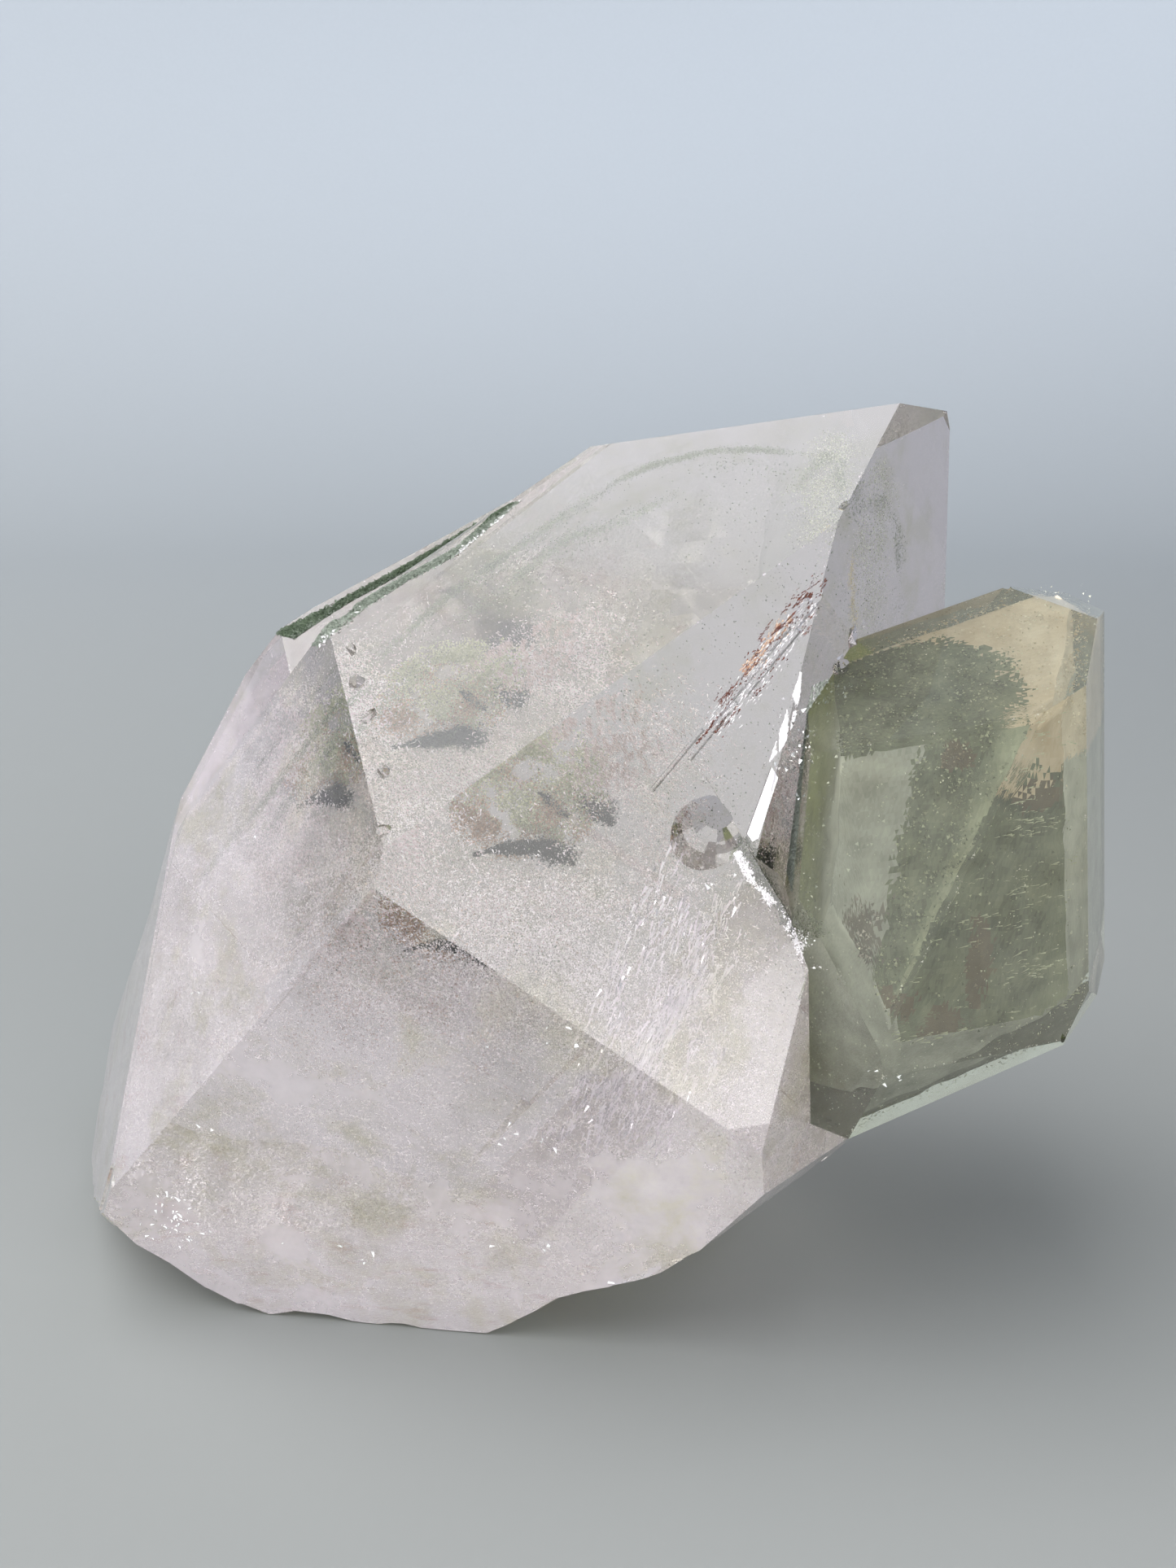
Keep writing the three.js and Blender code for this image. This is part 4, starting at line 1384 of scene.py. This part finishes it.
@dataclass
class Contact:
    """Where the two crystals meet on the front: a step painted bright as a highlight, a white wedge, ruffles
    with a painted sheen, and a seam.
    """

    faces: Point = (0.3, -0.93, 0.22)
    lift: float = 0.02
    step: Line = ((25.5, -28.5, 74.2), (26.3, -28.2, 72.9), (24.0, -30.8, 66.6), (23.3, -31.1, 66.3),
                  (22.7, -31.1, 67.2))
    step_lift: float = 0.12
    # Tones of the painted highlight, one for each of the step's three triangles.
    highlight_tones: Point = (0.2, 0.5, 0.9)
    wedge_top: Point = (28.9, -25.2, 84.2)
    wedge_low: Point = (25.3, -28.5, 74.9)
    wedge_bulge: Point = (6.5, 2.0, -1.0)
    wedge_count: int = 5000
    panel_faces: Point = (0.85, -0.52, -0.05)
    panel_corner: Point = (25.8, -28.6, 60.0)
    panel_up: Point = (4.6, 7.0, 22.0)
    panel_across: Point = (4.0, 6.4, 0.0)
    panel_run: Point = (0.25, 0.1, 1.0)
    panel_count: int = 16000
    band: Line = ((22.3, -31.9, 66.5), (24.6, -32.2, 62.0), (27.6, -33.0, 58.0), (29.2, -34.0, 56.0))
    band_spread: Point = (0.55, 0.0, 0.3)
    band_count: int = 5200
    rim: Line = ((21.5, -32.5, 65.7), (23.3, -33.0, 62.6), (25.7, -33.1, 59.7), (28.8, -34.2, 56.1),
                 (30.1, -34.8, 52.6))
    rim_count: int = 2600

    def step_highlight_patch(self) -> None:
        """Builds the flat step where the two crystals meet, a narrow five-cornered face painted bright as a
        highlight.
        """
        corners = np.array(self.step) + self.step_lift * np.array(self.faces)
        triangles = np.array([(0, 1, 2), (0, 2, 3), (0, 3, 4)])[:, ::-1]
        make_piece("painted_step_highlight", corners, triangles, STEP_HIGHLIGHT.material(), np.array(self.highlight_tones))

    def build(self, surface: Surface) -> None:
        """Builds the wedge, the ruffles and the seam.

        Args:
            surface: the body's surface.
        """
        rng = np.random.default_rng(48)
        outward = unit(np.array(self.faces))
        self.wedge(outward, rng, surface)
        self.ruffles(rng, surface)
        self.seam(outward, rng, surface)

    def wedge(self, outward: Array, rng: np.random.Generator, surface: Surface) -> None:
        """Builds the whitish wedge beside the contact's upper end.

        A place is v of the way up from the low end, plus u times v times (1 - v) of the bulge.

        Args:
            outward: the way the surface faces there.
            rng: source of random numbers.
            surface: the body's surface.
        """
        u, v = rng.random(self.wedge_count)[:, None], rng.random(self.wedge_count)[:, None]
        top, low = np.array(self.wedge_top), np.array(self.wedge_low)
        place = low + v * (top - low) + u * (1 - v) * v * np.array(self.wedge_bulge)
        place = thinned(place, ramp(cloud(place * np.array([1.6, 1.0, 0.4]), 1.2, 83), 0.25, 0.6), rng)
        Flakes(0.08, 0.4, 0.3, 0.3).strew("contact_wedge", surface.land(place, outward, self.lift), outward,
                                          MILK, rng, unit(low - top))

    def ruffles(self, rng: np.random.Generator, surface: Surface) -> None:
        """Builds ruffled green quartz on the narrow face turned towards the side crystal, and white streaks
        that paint its silvery sheen as a highlight.

        Args:
            rng: source of random numbers.
            surface: the body's surface.
        """
        aside = unit(np.array(self.panel_faces))
        u, v = rng.random(self.panel_count)[:, None], rng.random(self.panel_count)[:, None]
        strip = np.array(self.panel_corner) + v * np.array(self.panel_up) + u * np.array(self.panel_across)
        green = rng.random(self.panel_count) < ramp(cloud(strip, 2.4, 86), 0.0, 0.4)
        streaky = ramp(cloud(strip * np.array([1.5, 1.5, 0.35]), 1.3, 87), 0.55, 0.75)
        lit = rng.random(self.panel_count) < 0.3 * streaky
        for name, chosen, lift, finish, size in (
            ("contact_haze", green, self.lift, CONTACT_HAZE, Flakes(0.08, 0.3, tilt=0.4)),
            ("contact_painted_sheen", lit, 3 * self.lift, MILK, Flakes(0.08, 0.6, 0.2, 0.3)),
        ):
            size.strew(name, surface.land(strip[chosen], aside, lift), aside, finish, rng,
                       np.array(self.panel_run))

    def seam(self, outward: Array, rng: np.random.Generator, surface: Surface) -> None:
        """Builds the dark green band along the contact, half a millimetre deep, and its white ragged edge.

        Args:
            outward: the way the surface faces there.
            rng: source of random numbers.
            surface: the body's surface.
        """
        place = on_line(self.band, (len(self.band) - 1) * rng.random(self.band_count))
        place = place + rng.normal(size=(self.band_count, 1)) * np.array(self.band_spread)
        place = surface.land(place, outward, -0.5)
        place = place + rng.exponential(0.7, (len(place), 1)) * np.array([0.0, 1.0, 0.0])
        Flakes(0.06, 0.22).strew("contact_green", place, np.zeros(3), CONTACT_CHLORITE, rng, within=surface)
        ragged = on_line(self.rim, (len(self.rim) - 1) * rng.random(self.rim_count))
        ragged += (rng.normal(size=(self.rim_count, 1)) * 0.28 - 0.2) * np.array([1.0, 0.0, 0.5])
        ragged = thinned(ragged, ramp(cloud(ragged, 0.8, 84), 0.3, 0.6), rng)
        Flakes(0.05, 0.25, 0.5, 0.5).strew("contact_edge", surface.land(ragged, outward, self.lift), outward,
                                           MILK, rng)


# The side crystal's inclusions

class Kind(IntEnum):
    """What the side crystal's phantom is made of at a place."""

    GREEN = 0
    HAZE = 1
    CREAM = 2
    BROWN = 3
    PURPLE = 4


@dataclass
class SidePhantom:
    """The green body inside the side crystal, with brown, cream and clear patches."""

    insets: Dict[str, float] = field(default_factory=lambda: {
        "top": 1.6, "front_left": 1.8, "front_right": 1.6, "right_strip": 2.4, "bottom_strip": 3.0,
        "lower_left": 3.0, "back_top": 2.0, "below": 4.0, "far_right": 2.6, "back": 5.0, "buried": 3.0})
    core_inset: float = 0.9
    core_cuts: int = 44
    grain_count: int = 260000
    speck_inset: float = -0.9
    speck_count: int = 30000
    browns: Tuple[Tuple[Point, Point], ...] = (
        ((46.2, -27.4, 75.2), (2.2, 4.0, 2.2)), ((54.5, -28.0, 71.5), (5.0, 4.0, 2.6)),
        ((48.0, -32.2, 52.5), (2.0, 4.0, 7.0)), ((43.5, -34.5, 45.5), (3.4, 5.0, 4.0)),
        ((38.5, -36.0, 50.0), (2.4, 4.0, 2.4)))
    purple: Tuple[Point, Point] = ((35.6, -32.8, 57.0), (3.6, 5.0, 4.4))
    ruffle_count: int = 500
    ruffle_middle: Point = (27.6, -25.0, 73.0)
    ruffle_spread: Point = (1.6, 2.6, 4.2)
    ruffle_faces: Point = (-0.5, -0.8, 0.4)

    def body(self, side: Dict[str, Facet], deeper: float = 0.0) -> Body:
        """The phantom's body, or the same moved further in by a distance."""
        return Body([side[key].inset(by + deeper) for key, by in self.insets.items()])

    def nearest(self, place: Array, side: Dict[str, Facet]) -> Array:
        """The name of the phantom's face that each place lies under."""
        number = np.argmin([side[key].depth(place) - by for key, by in self.insets.items()], axis=0)
        return np.array(list(self.insets))[number]

    def kinds(self, place: Array, side: Dict[str, Facet], rng: np.random.Generator) -> Array:
        """What lies at each place.

        Under the top face green fills an ellipse, and cream lies outside it. Under the left front
        face the left is clear, up to a line that leans right as it climbs. Under the right one the
        top is cream, then brown. The narrow faces and the far side are hazy. A cloud moves every
        border by about 1 mm, and a random part blurs it.

        Args:
            place: places near the phantom's skin, in millimetres.
            side: faces of the side crystal.
            rng: source of random numbers.

        Returns:
            One kind for each place.
        """
        x, y, z = place.T
        shift = 2.4 * (cloud(place, 3.0, 91) - 0.5) + 1.6 * (cloud(place, 1.0, 92) - 0.5)
        shift = shift + 0.6 * rng.normal(size=len(place))
        face = self.nearest(place, side)
        kind = np.where(np.isin(face, ("top", "front_left", "front_right")), int(Kind.GREEN), int(Kind.HAZE))
        outside = ((x - 37.5) / 16.5) ** 2 + ((y + 23.0) / 12.5) ** 2 + 0.12 * shift
        kind[(face == "top") & (outside > 1.0)] = Kind.CREAM
        kind[(z > 75.0) & np.isin(face, ("back_top", "far_right", "right_strip", "back"))] = Kind.CREAM
        kind[(face == "front_left") & (x + 0.6 * shift < 38.0 + 0.25 * (z - 60.0))] = Kind.HAZE
        kind[(face == "front_right") & (z + 1.5 * shift > 73.5)] = Kind.CREAM
        brown = np.max([nearness(place, at, reach) for at, reach in self.browns], axis=0)
        kind[(brown + 0.14 * shift > 0.5) & (kind == Kind.GREEN)] = Kind.BROWN
        kind[(nearness(place, *self.purple) + 0.2 * shift > 0.5) & (face == "front_left")] = Kind.PURPLE
        return kind

    def shade(self, place: Array, side: Dict[str, Facet], rng: np.random.Generator) -> Array:
        """Tones from 0, dark, to 1, pale.

        Dark under the top face and on the left of the front, pale in a wedge beside the edge between
        the two front faces, and in level bands under the right one that pale to the right. Elsewhere
        it pales as it rises. A cloud and a random part vary the tone everywhere.

        Args:
            place: places near the phantom's skin, in millimetres.
            side: faces of the side crystal.
            rng: source of random numbers.

        Returns:
            One tone for each place.
        """
        x, y, z = place.T
        face = self.nearest(place, side)
        wedge = ramp(38.0 + 0.53 * (z - 48.0) - x, 0.12 * (z - 42.0), 0.2)
        bands = cloud(place * np.array([0.25, 0.25, 1.0]), 2.2, 90)
        tone = np.select([face == "top", face == "front_left", face == "front_right"],
                         [0.02 + 0.5 * ramp(x, 46.0, 66.0), 0.02 + 0.8 * wedge,
                          0.3 * bands + 0.5 * ramp(x + 0.2 * (60.0 - z), 55.0, 66.0) - 0.1],
                         0.05 + 0.6 * ramp(z, 44.0, 66.0))
        return np.clip(tone + 0.3 * cloud(place, 1.4, 88) + 0.2 * rng.random(len(place)), 0, 1)

    def core(self, side: Dict[str, Facet]) -> None:
        """Builds the skin that the grains lie on: a fine mesh of the inset body, uneven by half a millimetre.

        Args:
            side: faces of the side crystal.
        """
        rng = np.random.default_rng(59)
        points, faces = self.body(side, self.core_inset).skin(self.core_cuts)
        points = points + (np.stack([cloud(points, 3.0, 94 + k) for k in range(3)], axis=1) - 0.5)
        middle = points[faces].mean(axis=1)
        kind, tones = self.kinds(middle, side, rng), self.shade(middle, side, rng)
        for here, name, finish in (
            (Kind.GREEN, "side_green", SIDE_GREEN), (Kind.HAZE, "side_haze", SIDE_HAZE),
            (Kind.CREAM, "side_cream", SIDE_CREAM), (Kind.BROWN, "side_brown", SIDE_BROWN),
            (Kind.PURPLE, "side_purple", SIDE_PURPLE),
        ):
            make_piece(name, points, faces[kind == here], finish.material(), tones[kind == here])

    def grains(self, side: Dict[str, Facet], surface: Surface) -> None:
        """Builds the loose grains on the skin, each of the kind that lies there.

        Args:
            side: faces of the side crystal.
            surface: the body's surface.
        """
        rng = np.random.default_rng(61)
        shell = Body([plane.inset(0.5) for plane in side.values()])
        place, normal = self.body(side).on_skin(self.grain_count, rng)
        place = place + normal * (0.5 * rng.normal(size=len(place)) - 0.2)[:, None]
        kept = shell.holds(place) & (rng.random(len(place)) < ramp(cloud(place, 1.2, 93), 0.3, 0.8))
        place, normal = place[kept], normal[kept]
        # The right front face stays smooth.
        kept = rng.random(len(place)) < np.where(self.nearest(place, side) == "front_right", 0.12, 0.9)
        place, normal = place[kept], normal[kept]
        kind = self.kinds(place, side, rng)
        for here, name, finish, share in (
            (Kind.GREEN, "side_green_grains", GREEN_GRAINS, 0.7),
            (Kind.HAZE, "side_haze_specks", HAZE_SPECKS, 0.04),
            (Kind.CREAM, "side_cream_grains", CREAM_GRAINS, 0.3),
            (Kind.BROWN, "side_brown_grains", BROWN_GRAINS, 0.8),
            (Kind.PURPLE, "side_purple_grains", PURPLE_GRAINS, 0.9),
        ):
            chosen = (kind == here) & (rng.random(len(place)) < share)
            Flakes(0.06, 0.3, tilt=0.7, tone_bias=1.2).strew(name, place[chosen], normal[chosen], finish,
                                                             rng, within=surface)

    def light_specks(self, side: Dict[str, Facet]) -> None:
        """Builds the pale specks over the green, and level dashes under the right front face.

        Args:
            side: faces of the side crystal.
        """
        rng = np.random.default_rng(67)
        place, normal = self.body(side, self.speck_inset).on_skin(self.speck_count, rng)
        right = ramp(place[:, 0] + 0.3 * place[:, 2], 56, 72)
        chosen = rng.random(len(place)) < (0.15 + 0.5 * right) * ramp(cloud(place, 1.5, 97), 0.45, 0.8)
        Flakes(0.05, 0.2).strew("side_pale_specks", place[chosen], normal[chosen], PALE_SPECKS, rng)
        outward = np.array(side["front_right"].normal)
        on_right = normal @ outward > 0.99
        place, normal = place[on_right], normal[on_right]
        chosen = rng.random(len(place)) < ramp(cloud(place * np.array([0.3, 0.3, 2.2]), 1.6, 98), 0.55, 0.7)
        level = unit(np.cross(outward, np.array([0.0, 0.0, 1.0])))
        Flakes(0.2, 1.0, 0.08, 0.1).strew("side_level_dashes", place[chosen], normal[chosen], GROWTH_LINES,
                                          rng, level)

    def ruffles(self) -> None:
        """Builds the silvery ruffles where the side crystal grew against the large one."""
        rng = np.random.default_rng(71)
        place = swarm(self.ruffle_middle, self.ruffle_spread, self.ruffle_count, rng)
        place = thinned(place, ramp(cloud(place, 1.6, 99), 0.45, 0.7), rng)
        Flakes(0.1, 0.45, 0.5, 0.7).strew("contact_ruffles", place, np.array(self.ruffle_faces), SILVER, rng)


@dataclass
class SliverPhantom:
    """Dark green chlorite in the thin crystal behind the upper left edge."""

    rim: Line = ((-34.5, -3.0, 84.6), (-27.2, -1.2, 88.1), (-19.1, 1.1, 92.2), (-12.2, 3.4, 95.9),
                 (-4.5, -4.2, 100.9))
    ridge: Line = ((-27.5, -14.5, 85.2), (-21.4, -12.9, 89.8), (-16.7, -11.0, 92.5), (-10.9, -9.4, 95.4),
                   (-3.3, -4.4, 101.3))
    front: Point = (0.13, -0.98, 0.14)
    faces: Point = (-0.22, -0.59, 0.78)
    lift: float = 0.02
    blur: float = 0.06

    def build(self, surface: Surface) -> None:
        """Covers the strip between rim and ridge: green at the rim, grey below, white chips on the ridge.

        Args:
            surface: the body's surface.
        """
        rng = np.random.default_rng(73)
        run = np.array(self.rim[-1]) - np.array(self.rim[0])
        for name, count, low, high, gaps, finish in (
            ("thin_crystal_green", 22000, 0.0, 0.5, 0.0, THIN_CHLORITE),
            ("thin_crystal_haze", 20000, 0.35, 1.0, 0.0, THIN_HAZE),
            ("ridge_chips", 2600, 1.0, 1.0, 0.5, MILK),
        ):
            t = (len(self.rim) - 1) * rng.random(count)
            across = (low + (high - low) * rng.random(count) + self.blur * rng.normal(size=count))[:, None]
            outer, inner = on_line(self.rim, t), on_line(self.ridge, t)
            place = surface.land(outer + across * (inner - outer), unit(np.array(self.front)), self.lift)
            place = thinned(place, ramp(cloud(place, 1.6, 101), gaps, gaps + 0.3), rng)
            Flakes(0.06, 0.3, tilt=0.4).strew(name, place, np.array(self.faces), finish, rng, run)


# The studio

@dataclass(frozen=True)
class Panel:
    """One soft panel of light: its place and the point it faces, in metres, its size, power and colour."""

    name: str
    place: Point
    aim: Point
    size: Tuple[float, float]
    watts: float
    colour: str

    def build(self) -> None:
        """Adds the light, turned towards its aim with its height upright."""
        panel = bpy.data.lights.new(self.name, "AREA")
        panel.shape, panel.size, panel.size_y = "RECTANGLE", self.size[0], self.size[1]
        panel.energy, panel.color = self.watts, linear(self.colour)[:3]
        lamp = bpy.data.objects.new(self.name, panel)
        bpy.context.scene.collection.objects.link(lamp)
        away = np.array(self.place) - np.array(self.aim)
        lamp.location = self.place
        lamp.rotation_euler = (math.acos(away[2] / np.linalg.norm(away)), 0.0,
                               math.atan2(away[1], away[0]) + math.pi / 2)


@dataclass(frozen=True)
class PaintedBoard:
    """Matt painted board: even and without gloss, paler towards the back and up the wall on every side. The
    pale far tone is painted light and the darker near tone is painted shade.
    """

    # The near tone is painted shade on the floor round the part and in front of it.
    near: str = "868887"
    dull: str = "c3c8ce"
    bright: str = "c6cbd1"
    roughness: float = 0.9

    def material(self) -> bpy.types.Material:
        """The paint, its tone worked out from the distance behind the part plus 1.5 times the height: painted
        shade near the part, painted light far back and high up.

        Returns:
            The material.
        """
        material, tree = new_material("matt_painted_board")
        where = add(tree, "TexCoord").outputs["Object"]
        grain = add(tree, "TexNoise", {}, {"Vector": where, "Scale": 300.0, "Detail": 2.0}).outputs["Fac"]
        far = add(tree, "Mix", {"data_type": "RGBA"}, {
            0: grain, 6: linear(self.dull), 7: linear(self.bright)})
        place = add(tree, "SeparateXYZ", {}, {0: where})
        back = add(tree, "Math", {"operation": "MAXIMUM"}, {0: place.outputs["Y"], 1: 0.0}).outputs[0]
        depth = add(tree, "Math", {"operation": "MULTIPLY_ADD"},
                    {0: place.outputs["Z"], 1: 1.5, 2: back}).outputs[0]
        # Painted shade near the part, fading to painted light towards the back and up the wall.
        away = add(tree, "MapRange", {"interpolation_type": "SMOOTHSTEP"},
                   {"Value": depth, "From Min": -0.1, "From Max": 2.1}).outputs[0]
        tone = add(tree, "Mix", {"data_type": "RGBA"}, {0: away, 6: linear(self.near), 7: far.outputs[2]})
        shader = add(tree, "BsdfPrincipled", {}, {"Base Color": tone.outputs[2], "Roughness": self.roughness})
        add(tree, "OutputMaterial", {}, {"Surface": shader.outputs[0]})
        return material


@dataclass
class Studio:
    """A plain pale floor that rises to a pale wall on every side, soft lights and the camera."""

    floor_radius: float = 0.75
    bend_radius: float = 0.75
    wall_height: float = 1.9
    floor_drop: float = 0.0002
    spokes: int = 96
    panels: Tuple[Panel, ...] = (
        Panel("top", (-0.70, -0.32, 1.05), (-0.70, -0.32, 0.0), (1.3, 1.4), 27.0, "ffffff"),
        Panel("front_left", (-0.72, -0.80, 0.40), (0.0, 0.0, 0.05), (0.6, 0.6), 1.4, "fbfaf8"),
        Panel("front_right", (0.52, -0.76, 0.335), (0.0, -0.02, 0.18), (1.0, 0.6), 8.0, "fbfaf8"),
        Panel("low_front", (-0.25, -1.0, 0.16), (-0.25, 0.0, 0.1), (1.0, 0.24), 3.2, "fbfaf8"),
        Panel("wall", (0.5, 0.55, 1.1), (0.5, 1.5, 0.72), (1.6, 0.4), 6.4, "e9f0fa"),
    )
    sky: str = "dfe8f2"
    sky_strength: float = 0.54
    camera_place: Point = (0.005, -0.193, 0.1194)
    camera_pitch: float = 16.0
    lens: float = 35.0
    film: float = 36.0

    def floor(self) -> bpy.types.Object:
        """Builds the floor and wall as a profile turned about the upright axis.

        The profile is level out to the floor's radius, then a quarter circle, then upright.

        Returns:
            The floor.
        """
        bend = np.linspace(0, math.pi / 2, 24)
        out = np.concatenate([[0.0, 0.3], self.floor_radius + self.bend_radius * np.sin(bend)])
        high = np.concatenate([[0.0, 0.0], self.bend_radius * (1 - np.cos(bend))]) - self.floor_drop
        out, high = np.append(out, out[-1]), np.append(high, self.wall_height)
        around = np.linspace(0, 2 * math.pi, self.spokes + 1)[:-1]
        rim = np.stack([np.outer(out[1:], np.cos(around)), np.outer(out[1:], np.sin(around)),
                        np.repeat(high[1:, None], self.spokes, axis=1)], axis=-1).reshape(-1, 3)
        points = np.vstack([[0.0, 0.0, -self.floor_drop], rim])
        index = 1 + np.arange(len(rim)).reshape(-1, self.spokes)
        ring = np.roll(index, -1, axis=1)
        quads = np.stack([index[:-1], ring[:-1], ring[1:], index[1:]], axis=-1)[:, :, ::-1].reshape(-1, 4)
        fan = np.stack([np.zeros(self.spokes, int), index[0], ring[0]], axis=-1)
        mesh = bpy.data.meshes.new("floor")
        mesh.from_pydata(points.tolist(), [], fan.tolist() + quads.tolist())
        mesh.shade_smooth()
        piece = bpy.data.objects.new("floor", mesh)
        bpy.context.scene.collection.objects.link(piece)
        mesh.materials.append(PaintedBoard().material())
        return piece

    def camera(self) -> None:
        """Adds the camera at the photograph's viewing angle."""
        view = bpy.data.cameras.new("camera")
        view.lens, view.sensor_fit = self.lens, "VERTICAL"
        view.sensor_height, view.sensor_width = self.film, self.film
        view.clip_start = 0.01
        camera = bpy.data.objects.new("camera", view)
        camera.location = self.camera_place
        camera.rotation_euler = (math.radians(90 - self.camera_pitch), 0.0, 0.0)
        bpy.context.scene.collection.objects.link(camera)
        bpy.context.scene.camera = camera

    def build(self) -> None:
        """Makes the floor, the lights, the sky colour and the camera."""
        self.floor()
        for panel in self.panels:
            panel.build()
        scene = bpy.context.scene
        scene.world = bpy.data.worlds.new("sky")
        scene.world.use_nodes = True
        tree = scene.world.node_tree
        tree.nodes.clear()
        glow = add(tree, "Background", {}, {"Color": linear(self.sky), "Strength": self.sky_strength})
        add(tree, "OutputWorld", {}, {"Surface": glow.outputs[0]})
        self.camera()
        scene.view_settings.view_transform = "Standard"
        # Light scatters many times between the flakes before it leaves the crystal.
        scene.cycles.max_bounces, scene.cycles.diffuse_bounces = 11, 2
        scene.cycles.transmission_bounces, scene.cycles.glossy_bounces = 9, 5
        log.info("studio: floor, %d lights and camera", len(self.panels))


# The other grown faces

# Faces of the smaller crystals round the large one: bearing, dip and distance from its centre.
SMALLER_FACES = ((-159.8, 23.5, 44.1), (-164.6, 15.8, 47.0), (-71.8, 12.8, 38.4), (-8.2, 31.8, 28.8),
                 (6.4, 17.1, 24.8), (137.2, 45.8, 38.2), (144.3, 43.3, 39.6), (148.3, 27.9, 40.7))
# Faces level with one of the large crystal's: its name and how far inwards they lie.
LEVEL_FACES = (("tip_right", -7.2), ("tip_left", 6.8), ("side_left", 0.9), ("side_back", -0.7),
               ("side_far", -0.7))


def main() -> None:
    """Builds the studio and every piece, in order."""
    Studio().build()
    large, side = LargeCrystal().faces(), SideCrystal().faces()
    axis, centre = LargeCrystal().axis(), np.array(LargeCrystal().centre)
    grown = [plane for name, plane in large.items() if name != "base"]
    grown += [facet(facing(bearing, dip), out, centre) for bearing, dip, out in SMALLER_FACES]
    grown += [large[name].inset(by) for name, by in LEVEL_FACES]
    surface = QuartzBody().build(grown, list(side.values()), axis, centre)
    phantoms, root, milk = Phantoms(), PhantomRoot(), Milk()
    phantoms.build(large, axis, centre, surface)
    phantoms.tip(large)
    GhostLines().build(surface)
    root.build()
    root.feathers()
    root.mound()
    milk.build(large, axis, centre, surface)
    milk.bank(surface)
    milk.speckles(large, surface)
    HealedFeathers().build(large, surface)
    RustStreaks().build(large, surface)
    marks, contact, side_phantom = SmallMarks(), Contact(), SidePhantom()
    marks.sparkles(surface)
    marks.bruises_and_edge_highlights(surface)
    contact.step_highlight_patch()
    contact.build(surface)
    marks.streak()
    side_phantom.core(side)
    side_phantom.grains(side, surface)
    side_phantom.light_specks(side)
    side_phantom.ruffles()
    SliverPhantom().build(surface)


if __name__ == "__main__":
    main()
